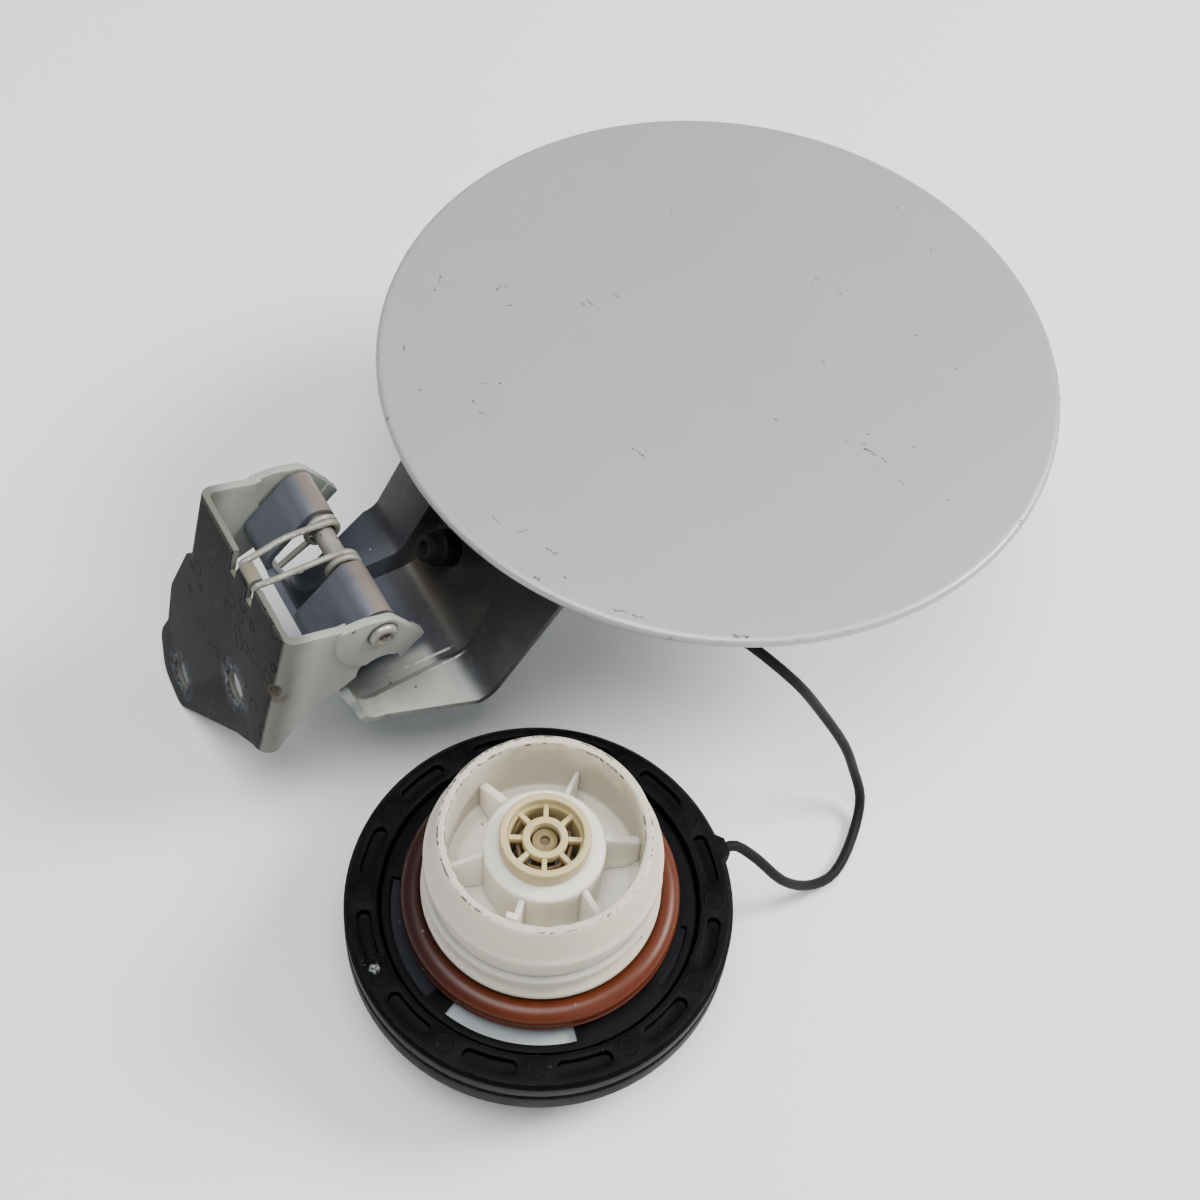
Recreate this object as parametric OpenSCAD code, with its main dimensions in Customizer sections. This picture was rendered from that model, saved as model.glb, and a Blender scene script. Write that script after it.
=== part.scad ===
// Round car fuel door on a gooseneck hinge, with its tethered screw cap.
// Millimetres. Origin: a point of the bracket's mounting face, level with
// the middle of the two bolt holes and on the hinge's centre plane.
// +X from the bracket to the door, +Y along the hinge pin, +Z out of the car body.

/* [Door panel] */
// Outside diameter of the round door
door_d = 170; // [150:1:190]
// Rise of the outer skin's middle over its rim
door_crown = 1.8; // [0.5:0.1:4]
// Thickness of the door's sheet metal
door_t = 0.8; // [0.6:0.1:1.2]
// Width of the hem that is folded round the inner panel
hem_w = 8; // [5:0.5:12]
// Distance from the hinge pin to the door's middle
door_reach = 106; // [98:1:120]
// Height of the door's rim over the hinge pin
door_rise = 16.5; // [15:0.5:22]
// Depth of the inner panel's dish below the outer skin
dish_depth = 7.5; // [4:0.5:8]
// Diameter of the inner panel's flat dish
dish_d = 112; // [100:1:124]

/* [Hinge arm] */
// Thickness of the arm's sheet metal
arm_t = 1.8; // [1.4:0.1:2.2]
// Depth of the gooseneck's floor below the pin
arm_drop = 26; // [24:0.5:30]
// Length of the gooseneck's floor
arm_floor = 28; // [24:1:34]
// Depth of the channel pressed into the arm
channel_depth = 5; // [3:0.5:6]
// Width of the channel's floor
channel_w = 30; // [24:1:34]
// Distance of the arm's centre line to the near side of the hinge's middle
arm_shift = 6.5; // [3:0.5:8]
// Width of the arm at the left end of its floor
arm_w = 49; // [44:1:54]
// Width of the arm where it meets the door
arm_top_w = 66; // [60:1:72]
// Length of the flange under the door
flange_len = 56; // [45:1:64]
// Length of the near hinge barrel
near_barrel = 15.5; // [12:0.5:20]
// Length of the far hinge barrel
far_barrel = 12.5; // [9:0.5:15]

/* [Hinge bracket] */
// Thickness of the bracket's sheet metal
plate_t = 2; // [1.6:0.1:2.5]
// Outside width of the bracket over its ears
bracket_w = 49.2; // [46:0.2:56]
// Distance from the mounting face to the pin's axis
plate_to_pin = 24.7; // [23:0.1:30]
// Height of the pin over the middle of the bolt holes
pin_height = 46; // [42:0.5:52]
// Lean of the bracket away from square to the door
plate_lean = 14.2; // [8:0.2:18]
// Diameter of the two bolt holes
bolt_hole_d = 8.6; // [6.6:0.1:10]
// Distance between the bolt holes across the plate
hole_pitch_y = 25.6; // [22:0.2:28]
// Distance between the bolt holes up the plate
hole_pitch_z = 27.6; // [24:0.2:32]
// Height of the raised round seats at the pin
ear_seat = 0.7; // [0.4:0.1:1]
// Radius of the round notch under the pin
ear_notch_r = 5.8; // [5:0.1:6.4]

/* [Pin and spring] */
// Diameter of the hinge pin
pin_d = 5; // [4:0.1:6]
// Diameter of the pin's rolled heads
pin_head_d = 7; // [6.4:0.1:9]
// Diameter of the spring wire
wire_d = 1.6; // [1.2:0.1:1.8]
// Turns in each of the spring's two coils
coil_turns = 1.5; // [1.5:1:3.5]

/* [Buffer] */
// Diameter of the rubber buffer
buffer_d = 9.5; // [8:0.5:11]
// Height of the rubber buffer
buffer_h = 8.6; // [6:0.2:10]

/* [Cap] */
// Diameter of the neck where the seal sits
seal_seat_d = 52.8; // [50:0.2:56]
// Width of the ratchet's plate and wheel round the neck
ratchet_w = 10; // [9:0.2:12]
// Thickness of the tether ring
ring_t = 5; // [4:0.2:6]
// Width of the ring's flat top
ring_w = 8.2; // [7.8:0.1:8.6]
// Number of slots round the ring
ring_slots = 12; // [8:1:16]
// Length of each slot in the ring
slot_len = 12.6; // [9:0.2:14]
// Width of each slot in the ring
slot_w = 3.2; // [2.4:0.1:3.6]
// Thickness of the grip's round rim
rim_t = 7.6; // [7:0.2:10]
// Height of the grip bar below its rim
grip_bar_h = 15.1; // [10:0.5:20]
// Width of the grip bar
grip_bar_w = 27; // [22:1:34]
// Wall thickness of the grip
grip_wall = 2.5; // [2:0.1:3]
// Height of the neck's rim over the tether ring
neck_h = 34.3; // [30:0.1:40]
// Step from the seal's seat down to the root of the thread
thread_step = 0.8; // [0.4:0.1:1.2]
// Narrowing of the neck's radius from the thread to its rim
neck_taper = 2.2; // [1.2:0.1:3]
// Wall thickness of the neck
neck_wall = 3.3; // [2.6:0.1:3.6]
// Width of the seal round its seat
seal_w = 5.6; // [4.8:0.1:6.4]
// Height of the seal
seal_h = 6.5; // [5:0.5:8]
// Number of ribs inside the neck
neck_ribs = 6; // [4:1:8]
// Thickness of the ribs
rib_t = 1.8; // [1.4:0.1:2.4]
// Diameter of the hub inside the neck
hub_d = 27; // [25:0.5:30]
// Outside diameter of the valve housing's head
valve_d = 19.6; // [18.6:0.2:21]
// Number of spokes in the valve housing
valve_spokes = 8; // [6:1:10]

/* [Cord] */
// Diameter of the tether cord
cord_d = 2.6; // [2.2:0.1:3]

/* [Hidden] */
$fn = 96;
run = 0.05;                    // running clearance of the pin in its bores
air = 0.3;                     // clearance between moving faces
ear_out = bracket_w / 2;
ear_in = ear_out - plate_t;
bend_r = plate_t + 1.5;        // outside radius of the bracket's bends
pin_x = plate_to_pin * cos(plate_lean) + pin_height * sin(plate_lean);
pin_z = pin_height * cos(plate_lean) - plate_to_pin * sin(plate_lean);
hole_y = 5.1;                  // middle of the two holes, towards the far side
plate_top = pin_height + 4;
tab_side = [1, 4.2];           // the tab's far and near side from the hinge's middle
tab_gap = 3.6;                 // width of the gaps beside the tab
tab_gap_h = 7;                 // depth of the gaps
tab_len = 4;                   // reach of the tab that the spring hooks under
tab_drop = 0.8;                // tab's top below the plate's top
leg_x = 11;                    // reach of the spring's free legs from the pin
leg_z = 9.3;                   // drop of the spring's free legs from the pin
pin_hollow = 5;                // depth of the hollow rolled into the pin's heads
barrel_r = pin_d / 2 + run + arm_t + 0.2;
barrel_end = ear_in + ear_seat - 1;
door_r = door_d / 2;
skin_gap = 0.1;                // room between the skin, the inner panel and the hem
panel_z = door_rise - door_t - skin_gap;
hem_top = -2 * door_t - 2 * skin_gap - 0.05;
edge_r = (door_t - hem_top) / 2;
dish_z = door_rise + door_crown - door_t - dish_depth - door_t;
seat_r = seal_seat_d / 2;
ring_gap = 0.4;                // play of the ring round the ratchet's plate
ring_in = seat_r + ratchet_w + ring_gap;
ring_r = ring_in + ring_w;
floor_z = -23.5;
grip_h = ring_t + 1 + rim_t + grip_bar_h;
dish_slope = 7.6;              // width of the slope round the dish
anchor_r = (dish_d / 2 + dish_slope + door_r - hem_w) / 2;
anchor_pad = (door_r - hem_w - dish_d / 2 - dish_slope) * 0.45;
anchor_turn = -124;            // place of the cord's anchor round the door
anchor_h = 9;
anchor_bore = 3.4;             // depth of the anchor's bore for the cord
anchor_top = pin_z + panel_z - door_t - skin_gap;
anchor_x = pin_x + door_reach + anchor_r * cos(anchor_turn);
anchor_y = anchor_r * sin(anchor_turn);
lug_w = cord_d * 2.7;
cap_x = 43.5;
cap_y = -87;
cap_z = floor_z + grip_h;
rim_top = -ring_t - 1;         // top of the grip's rim, below the ring's top
rim_bot = rim_top - rim_t;
skirt_r = ring_in + 1.8;       // inside radius of the ring's skirt
plate_r = ring_in - ring_gap;  // outside radius of the ratchet plate
skirt_h = 3.4;                 // height of the ring's catch under the grip's rim
ratchet_top = -1.5;
ratchet_t = 1.5;
neck_flange_bot = ratchet_top + air;
seal_r = seat_r + seal_w;
hub_r = hub_d / 2;
valve_top = neck_h - 1.8;
hub_top = valve_top - 4.5;
neck_floor = 12;
valve_bore_r = valve_d / 2 - 1.15;
valve_in_r = valve_bore_r - 1.25;
seal_seat_z = neck_floor + 1.6;
disc_z = seal_seat_z + 1.4;
spoke_z = valve_top - 3.6;
collar_top = valve_top - 2.6;   // top of the vacuum valve's stem
stem_r = 1.6;
lug_angle = -12;

// Route of the tether cord from under the door to the lug of the ring
cord_route = concat([for (p = [[0, 0, 46.5], [0, 0, 42.6], [0.6, -3, 40.8], [2.6, -7, 41.3], [5.6, -10.4, 40.8]])
    [anchor_x + p[0], anchor_y + p[1], p[2]]], [
    [116, -78, 31], [123, -82, 18], [130, -87, 3], [134, -90, -10], [135, -94, -18], [131, -99, -22],
    [123, -105, -22], [116, -108, -21], [108, -108, -17], [101, -106, -10], [96, -101, -2.5],
    each [for (r = [4, 0.3]) [cap_x + (ring_r + r) * cos(lug_angle), cap_y + (ring_r + r) * sin(lug_angle),
        cap_z - ring_t / 2]]]);

module at_pin() translate([pin_x, 0, pin_z]) children();
module at_door() at_pin() translate([door_reach, 0, 0]) children();
module at_cap() translate([cap_x, cap_y, cap_z]) children();
module on_bracket() rotate([0, plate_lean, 0]) children();
module along_y(y0, y1) translate([0, y1, 0]) rotate([90, 0, 0]) linear_extrude(y1 - y0) children();

function unit(v) = v / norm(v);
function turned(v) = [-v[1], v[0]];
function total(v, i = 0) = i >= len(v) ? 0 : v[i] + total(v, i + 1);

// Points of an outline whose corners [x, y, radius] are rounded
function rounded(p, steps = 5) = [for (i = [0 : len(p) - 1])
    let (n = len(p), c = [p[i][0], p[i][1]], r = p[i][2],
        a = [p[(i + n - 1) % n][0], p[(i + n - 1) % n][1]], b = [p[(i + 1) % n][0], p[(i + 1) % n][1]],
        u = unit(a - c), v = unit(b - c), half = acos(max(-1, min(1, u * v))) / 2,
        far = r / tan(half), mid = c + unit(u + v) * r / sin(half),
        s = c + u * far - mid, e = c + v * far - mid, sweep = 180 - 2 * half,
        way = s[0] * e[1] - s[1] * e[0] > 0 ? 1 : -1)
    each r == 0 ? [c] : [for (k = [0 : steps]) let (g = way * sweep * k / steps)
        mid + [s[0] * cos(g) - s[1] * sin(g), s[0] * sin(g) + s[1] * cos(g)]]];

// Corner of an outline whose sides have moved outwards by d
function shifted(a, c, b, d) = let (n0 = turned(unit(c - a)), n1 = turned(unit(b - c)), m = unit(n0 + n1))
    c + m * d / (m * n1);

// Frames carried along a route without twist, and the skin round it
function tangent(p, i) = unit(p[min(i + 1, len(p) - 1)] - p[max(i - 1, 0)]);
function carried(p, i, n) = i >= len(p) ? [] :
    let (t = tangent(p, i), m = unit(n - t * (n * t))) concat([[m, cross(t, m)]], carried(p, i + 1, m));
module tube(p, r, sides, first = [0, 0, 1]) {
    f = carried(p, 0, first);
    count = len(p);
    polyhedron(
        [for (i = [0 : count - 1]) for (k = [0 : sides - 1])
            p[i] + r * (cos(360 * k / sides) * f[i][0] + sin(360 * k / sides) * f[i][1])],
        concat([[for (k = [0 : sides - 1]) k]],
            [for (i = [0 : count - 2]) for (k = [0 : sides - 1]) let (n = (k + 1) % sides, a = i * sides, b = a + sides)
                each [[a + k, b + k, b + n], [a + k, b + n, a + n]]],
            [[for (k = [sides - 1 : -1 : 0]) (count - 1) * sides + k]]));
}
// Smooth curve through the points of a route
function smooth(p, steps) = concat([for (i = [0 : len(p) - 2]) for (k = [0 : steps - 1])
    let (a = p[max(i - 1, 0)], b = p[i], c = p[i + 1], d = p[min(i + 2, len(p) - 1)], t = k / steps)
    0.5 * (2 * b + (c - a) * t + (2 * a - 5 * b + 4 * c - d) * t * t + (3 * b - a - 3 * c + d) * t * t * t)],
    [p[len(p) - 1]]);
// Disc or ring lying flat
module ring(r_out, r_in, z0, z1) translate([0, 0, z0]) difference() {
    cylinder(r = r_out, h = z1 - z0);
    if (r_in > 0) translate([0, 0, -1]) cylinder(r = r_in, h = z1 - z0 + 2);
}
// Sector of a ring between two angles, less than half a turn
module sector(r_out, r_in, z0, z1, a0, a1) rotate([0, 0, a0]) translate([0, 0, z0])
    rotate_extrude(angle = a1 - a0) translate([r_in, 0]) square([r_out - r_in, z1 - z0]);

// Outline of the mounting plate, seen from the car side, as [y, z]
function plate_outline() = let (hy = hole_pitch_y / 2, hz = hole_pitch_z / 2, side = ear_out - bend_r) [
    [-side, plate_top, 0], [side, plate_top, 0], [side, 29, 0], [ear_out, 27, 1], [hole_y + hy + 12, 9, 8],
    [hole_y + hy + 11, -4, 3], [hole_y + hy + 14, -hz + 1.5, 7], [hole_y + hy + 9, -hz - 8.5, 7],
    [hole_y + hy - 2, -hz - 11, 5], [-12.5, 1.2, 4], [-side, 7.5, 0]];

// Outline of an ear, with x from the mounting face and z from the bolt holes' middle
function ear_outline() = let (x = plate_to_pin, z = pin_height) [
    [bend_r, plate_top, 0], [x - 11, plate_top - 0.4, 2], [x - 5.5, z + 5, 3], [x + 2, z + 4.6, 4],
    [x + 12.8, z - 5.8, 0.6], [x + 7.8, z - 13.3, 0.6], [x + 2, z - 12, 0], [x - 2.6, z - 15.5, 0],
    [x - 8.3, z - 21, 3], [x - 14.4, z - 25.6, 5], [x - 18, z - 33, 4], [x - 20, 7.5, 0], [bend_r, 7.5, 0]];

module ear(side) {
    y0 = side > 0 ? ear_in : -ear_out;
    difference() {
        union() {
            along_y(y0, y0 + plate_t) polygon(rounded(ear_outline()));
            intersection() {
                along_y(-ear_out - ear_seat, ear_out + ear_seat) polygon(rounded(ear_outline()));
                translate([plate_to_pin, side * (ear_out + ear_seat / 2), pin_height])
                    rotate([90, 0, 0]) cylinder(r = 11.5, h = ear_seat + 0.01, center = true);
            }
        }
        translate([plate_to_pin, side * (ear_in + ear_seat / 2), pin_height])
            rotate([90, 0, 0]) cylinder(r = 10, h = ear_seat, center = true);
        translate([plate_to_pin, side * ear_out, pin_height])
            rotate([90, 0, 0]) cylinder(r = pin_d / 2 + run, h = 6 * plate_t, center = true);
        translate([plate_to_pin + 2.4, side * ear_out, pin_height - 15.2])
            rotate([90, 0, 0]) cylinder(r = ear_notch_r, h = 6 * plate_t, center = true);
    }
    // Bend between ear and plate
    low = side > 0 ? 29 : 7.5;
    translate([0, 0, low]) linear_extrude(plate_top - low) intersection() {
        translate([bend_r, side * (ear_out - bend_r)]) difference() {
            circle(r = bend_r);
            circle(r = bend_r - plate_t);
        }
        translate([0, side > 0 ? ear_out - bend_r : -ear_out]) square([bend_r, bend_r]);
    }
}

module hinge_bracket() color([0.55, 0.57, 0.54]) on_bracket() {
    top = plate_top - tab_drop;
    foot = plate_top - tab_gap_h;
    difference() {
        union() {
            rotate([90, 0, 90]) linear_extrude(plate_t) polygon(rounded(plate_outline()));
            ear(-1);
            ear(1);
        }
        // Dent that stiffens the near bend
        translate([0, -ear_out, 32]) rotate([0, 0, 45]) rotate([0, 90, 0]) cylinder(r1 = 4.4, r2 = 0.2, h = 2.9);
        for (s = [-1, 1])
            translate([-1, hole_y + s * hole_pitch_y / 2, -s * hole_pitch_z / 2])
                rotate([0, 90, 0]) cylinder(d = bolt_hole_d, h = plate_t + 2);
        // Gaps beside the tab
        translate([-1, -tab_side[1] - tab_gap, foot])
            cube([plate_t + 2, tab_side[0] + tab_side[1] + 2 * tab_gap, tab_gap_h + 1]);
    }
    // Rolled tab that the spring's bow hooks under
    along_y(-tab_side[1], tab_side[0]) polygon(rounded([[0, foot - 0.5, 0], [0, top, plate_t + 0.5],
        [tab_len, top, 0.4], [tab_len, top - plate_t, 0.3], [plate_t, top - plate_t, 0.5], [plate_t, foot - 0.5, 0]]));
}

module hinge_pin() color([0.62, 0.58, 0.5]) at_pin() rotate([90, 0, 0]) {
    half = ear_out + ear_seat;
    difference() {
        union() {
            cylinder(d = pin_d, h = 2 * half + 3, center = true);
            for (s = [-1, 1]) translate([0, 0, s * (half + 0.9)]) cylinder(d = pin_head_d, h = 1.7, center = true);
        }
        for (s = [-1, 1]) translate([0, 0, s * (half + 1)]) cylinder(d = pin_d * 0.5, h = pin_hollow, center = true);
    }
}

// Double torsion spring: a coil beside each barrel, with a bow hooked under the bracket's tab
function coil(y0, y1, r, steps = 16) = [for (i = [0 : steps * coil_turns])
    let (f = i / (steps * coil_turns), a = -90 + 360 * coil_turns * f) [r * cos(a), y0 + (y1 - y0) * f, r * sin(a)]];
// Point of the pin's frame given by its place from the plate's inner face and from the tab's underside
function under_tab(x, y, z) = let (u = x - plate_to_pin + plate_t, w = z + plate_top - tab_drop - plate_t - pin_height)
    [u * cos(plate_lean) + w * sin(plate_lean), y, w * cos(plate_lean) - u * sin(plate_lean)];
module hinge_spring() color([0.7, 0.7, 0.66]) at_pin() {
    r = pin_d / 2 + 0.5 + wire_d / 2;
    far_in = barrel_end - far_barrel - air - wire_d / 2;
    near_in = -barrel_end + near_barrel + air + wire_d / 2;
    length = wire_d * 1.06 * coil_turns;
    far = coil(far_in, far_in - length, r);
    leg = [for (k = [[1, 1], [0.64, 0.73], [0.27, 0.47]]) [-leg_x * k[0], 0, -leg_z * k[1]]];
    gap = wire_d / 2 + 0.15;
    side = [tab_side[0] + gap + 0.2, -tab_side[1] - gap - 0.2];
    bow = [under_tab(4, side[1] - 0.2, 2), under_tab(1.6, side[1] - 0.1, 1.5), under_tab(0.1, side[1], 0.9),
        under_tab(-0.25, side[1] + 0.1, 0), under_tab(0.5, side[1] + 0.5, -gap), under_tab(gap, side[1] + 1.8, -gap),
        under_tab(gap, 0.5 * (side[0] + side[1]), -gap),
        under_tab(gap, side[0] - 1.8, -gap), under_tab(0.5, side[0] - 0.5, -gap), under_tab(-0.25, side[0] - 0.1, 0),
        under_tab(0.1, side[0], 0.9), under_tab(1.6, side[0] + 0.1, 1.5), under_tab(4, side[0] + 0.6, 2)];
    tube(concat([for (p = leg) p + [0, near_in, 0]], coil(near_in, near_in + length, r),
        [[-3, near_in + length - 0.2, r + 0.5], [-10, near_in + length - 1, r + 1.8]], bow,
        [[-10, far_in - length - 0.8, r + 1.8], [-3, far_in - length - 0.1, r + 0.5]],
        [for (i = [len(far) - 1 : -1 : 0]) far[i]],
        [for (i = [2 : -1 : 0]) leg[i] + [0, far_in, 0]]), wire_d / 2, 8, [0, 1, 0]);
}

// Gooseneck, as [x, z] from the pin's axis: the sheet's inner face from the barrels to the flange's end
wall_lean = 31;
web_top = [-13, -8.4];
floor_left = [-6.8, -arm_drop];
flange_z = dish_z - 0.05;
tongue_r = pin_d / 2 + run + 0.15;
tongue_a = atan2(web_top[1], web_top[0]) + 360 - acos(tongue_r / norm(web_top));
function wall_at(z, d = 0) = floor_left[0] + arm_floor + d / cos(wall_lean) + (z + arm_drop) * tan(wall_lean);
function arm_line(d) = rounded([[tongue_r * cos(tongue_a), tongue_r * sin(tongue_a), 0],
    [web_top[0], web_top[1], 3], [floor_left[0] - d * 0.1, floor_left[1] - d, 5],
    [wall_at(-arm_drop - d, d), -arm_drop - d, 5], [wall_at(flange_z, d), flange_z, 4],
    [wall_at(flange_z) + flange_len, flange_z, 0]]);
// Places across the arm at each bend: edge, step's top and foot on the near side, then on the far side
near_foot = -arm_shift - channel_w / 2;
far_foot = -arm_shift + channel_w / 2;
arm_sides = let (m = -arm_shift, w = arm_w / 2, t = arm_top_w / 2) [
    [-barrel_end, near_foot - 0.4, near_foot + 2, far_foot, far_foot + 1.2, barrel_end],
    [-barrel_end, near_foot - 0.4, near_foot + 2, far_foot, far_foot + 1.2, barrel_end],
    [m - w, near_foot - 4, near_foot, far_foot, far_foot + 1.4, m + w - 2.5],
    [m - t + 1.5, near_foot - 3, near_foot + 1, far_foot, far_foot + 1.4, m + t - 1],
    [m - t, near_foot + 1.8, near_foot + 5.4, far_foot, far_foot + 1.4, m + t],
    [m - 20, near_foot + 1.8, near_foot + 5.4, far_foot, far_foot + 1.4, m + 20]];
arm_step = [0, 0, 1, 1, 0, 0];

module arm_sheet() {
    top = arm_line(0);
    low = arm_line(channel_depth);
    rows = len(top);
    cols = len(arm_step);
    face = [for (i = [0 : rows - 1]) let (side = arm_sides[i == 0 ? 0 : i == rows - 1 ? 5 : 1 + floor((i - 1) / 6)])
        [for (j = [0 : cols - 1]) let (q = top[i] + (low[i] - top[i]) * arm_step[j]) [q[0], side[j], q[1]]]];
    back = [for (i = [0 : rows - 1]) [for (j = [0 : cols - 1]) let (
        along = face[min(i + 1, rows - 1)][j] - face[max(i - 1, 0)][j],
        n0 = unit(cross(along, face[i][max(j, 1)] - face[i][max(j, 1) - 1])),
        n1 = unit(cross(along, face[i][min(j + 1, cols - 1)] - face[i][min(j, cols - 2)])),
        m = unit(n0 + n1)) face[i][j] - m * arm_t / (m * n0)]];
    n = rows * cols;
    polyhedron(concat([for (r = face) each r], [for (r = back) each r]), concat(
        [for (i = [0 : rows - 2]) for (j = [0 : cols - 2]) let (a = i * cols + j, b = a + cols)
            each [[a, a + 1, b + 1], [a, b + 1, b], [n + a, n + b + 1, n + a + 1], [n + a, n + b, n + b + 1]]],
        [for (i = [0 : rows - 2]) let (a = i * cols, b = a + cols, c = a + cols - 1, d = b + cols - 1)
            each [[a, b, n + b], [a, n + b, n + a], [c, n + d, d], [c, n + c, n + d]]],
        [for (j = [0 : cols - 2]) let (a = j, b = (rows - 1) * cols + j)
            each [[a, n + a, n + a + 1], [a, n + a + 1, a + 1], [b, b + 1, n + b + 1], [b, n + b + 1, n + b]]]));
}
module hinge_arm() color([0.5, 0.53, 0.57]) at_pin() difference() {
    union() {
        difference() {
            arm_sheet();
            // Room for the bracket's ears and for the spring between the barrels
            for (s = [-1, 1]) translate([-40, s > 0 ? barrel_end : -60, -19]) cube([52, 60 - barrel_end, 60]);
            along_y(-barrel_end + near_barrel, barrel_end - far_barrel) translate([-25, -10.5]) square([33, 20]);
        }
        along_y(-barrel_end, -barrel_end + near_barrel) circle(r = barrel_r);
        along_y(barrel_end - far_barrel, barrel_end) circle(r = barrel_r);
    }
    along_y(-barrel_end - 1, barrel_end + 1) circle(r = pin_d / 2 + run);
}

module stop_buffer() color([0.06, 0.06, 0.06]) at_pin() {
    z = -19.5;
    translate([wall_at(z, channel_depth), 1, z]) rotate([0, -90 + wall_lean, 0]) rotate_extrude()
        polygon([[0, 0], [buffer_d / 2, 0], [buffer_d / 2, buffer_h * 0.55], [buffer_d / 2 - 0.6, buffer_h * 0.62],
            [buffer_d / 2 - 1.2, buffer_h * 0.95], [buffer_d / 2 - 1.6, buffer_h], [1.6, buffer_h],
            [1.6, buffer_h - 1], [0, buffer_h - 1]]);
}

// Height of the crowned skin over its rim at a radius
function crown(r) = door_crown * (1 - pow(r / door_r, 2));
module door_skin() color([0.76, 0.77, 0.78]) at_door() translate([0, 0, door_rise]) rotate_extrude()
    polygon(concat(
        [for (k = [0 : 10]) let (r = (door_r - edge_r) * k / 10) [r, crown(r)]],
        [for (a = [70 : -20 : -70]) [door_r - edge_r + edge_r * cos(a), -edge_r + edge_r * sin(a)]],
        [[door_r - edge_r, -2 * edge_r], [door_r - hem_w, -2 * edge_r], [door_r - hem_w, hem_top],
        [door_r - edge_r, hem_top]],
        [for (k = [10 : -1 : 0]) let (r = (door_r - edge_r) * k / 10) [r, crown(r) - door_t]]));

module inner_panel() color([0.6, 0.62, 0.64]) at_door() difference() {
    edge = door_r - edge_r - 2 * skin_gap;
    dish = dish_d / 2;
    rotate_extrude() polygon([
        [0, dish_z + door_t], [dish, dish_z + door_t], [dish + dish_slope - 0.6, panel_z], [edge, panel_z],
        [edge, panel_z - door_t], [dish + dish_slope, panel_z - door_t], [dish + 0.6, dish_z], [0, dish_z]]);
    // Lightening holes of the pressing
    for (a = [-55, 0, 55]) rotate([0, 0, a]) translate([dish - 22, 0, dish_z - 1]) cylinder(d = 24, h = door_t + 2);
}

module tether_anchor() color([0.08, 0.08, 0.08]) translate([anchor_x, anchor_y, anchor_top]) difference() {
    union() {
        translate([0, 0, -anchor_h]) cylinder(r = cord_d * 1.25, h = anchor_h);
        translate([0, 0, -1.6]) cylinder(r = anchor_pad, h = 1.6);
    }
    translate([0, 0, -anchor_h - 1]) cylinder(d = cord_d + 0.6, h = anchor_bore + 1);
}

module tether_cord() color([0.06, 0.06, 0.06]) tube(smooth(cord_route, 2), cord_d / 2, 8);

module tether_ring() color([0.07, 0.07, 0.08]) at_cap() difference() {
    union() {
        rotate_extrude() polygon([[ring_in, -1.4], [ring_in + 0.5, 0], [ring_r - 1, 0], [ring_r, -1],
            [ring_r, -ring_t], [skirt_r + 1.8, -ring_t], [skirt_r + 1.8, rim_top - 1.6],
            [skirt_r + 3.1, rim_top - 1.6], [skirt_r + 2.6, rim_top - skirt_h], [skirt_r, rim_top - skirt_h],
            [skirt_r, -3.2], [ring_in, -3.2]]);
        // Lug that holds the cord's end
        rotate([0, 0, lug_angle]) translate([ring_r - 1.5, -lug_w / 2, -ring_t])
            cube([lug_w / 2, lug_w, ring_t]);
    }
    rotate([0, 0, lug_angle]) translate([ring_r, 0, -ring_t / 2])
        rotate([0, 90, 0]) cylinder(d = cord_d + 0.5, h = 4);
    mid = ring_r - ring_w * 0.55;
    for (k = [0 : ring_slots - 1]) rotate([0, 0, 360 * (k + 0.5) / ring_slots]) {
        half = (slot_len - slot_w) / 2 / mid * 180 / PI;
        rotate([0, 0, -half]) translate([0, 0, -2.4]) rotate_extrude(angle = 2 * half)
            translate([mid - slot_w / 2, 0]) square([slot_w, 3]);
        for (a = [-half, half]) rotate([0, 0, a]) translate([mid, 0, -2.4]) cylinder(d = slot_w, h = 3);
    }
}

module grip_cover() color([0.07, 0.07, 0.08]) at_cap() {
    rotate_extrude() polygon([[0, rim_bot], [ring_r - 1, rim_bot], [ring_r + 0.2, rim_bot + 1.2],
        [ring_r + 0.2, rim_top - 0.6], [ring_r - 0.4, rim_top], [skirt_r + 2.2, rim_top],
        [skirt_r + 2.2, rim_top - 1.2], [ring_r + 0.2 - grip_wall, rim_top - 1.2],
        [ring_r + 0.2 - grip_wall, rim_bot + grip_wall], [0, rim_bot + grip_wall]]);
    // Grip bar across the outside of the cap
    translate([0, 0, rim_bot - grip_bar_h]) rotate([0, 0, -36]) intersection() {
        cylinder(r = ring_r - 6, h = grip_bar_h + 0.5);
        difference() {
            translate([-ring_r, -grip_bar_w / 2, 0]) cube([2 * ring_r, grip_bar_w, grip_bar_h + 0.5]);
            for (s = [-1, 1]) translate([0, s * (grip_bar_w / 2 + 56), -1]) cylinder(r = 60, h = grip_bar_h + 3);
            translate([-ring_r + 10, -grip_bar_w / 2 + 7, 2.5]) cube([2 * ring_r - 20, grip_bar_w - 14, grip_bar_h + 1]);
        }
    }
}

module ratchet_plate() color([0.09, 0.09, 0.1]) at_cap() {
    low = ratchet_top - ratchet_t;
    hole = plate_r - ratchet_w * 0.66;
    difference() {
        union() {
            ring(plate_r, hole, low, ratchet_top);
            ring(plate_r, plate_r - 1.5, rim_bot + grip_wall, low + 0.1);
        }
        for (a = [142, 203]) sector(plate_r - 1.8, hole + 0.8, low - 1, ratchet_top + 1, a, a + 52);
        for (a = [-66, 70]) sector(plate_r - 1.8, plate_r - 3.2, low - 1, ratchet_top + 1, a, a + 26);
    }
    // Sprung pawls beside the toothed disc
    for (a = [-100, 20]) sector(plate_r - 3.4, plate_r - 4.6, low - 0.3, low + 0.1, a, a + 28);
}

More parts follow.
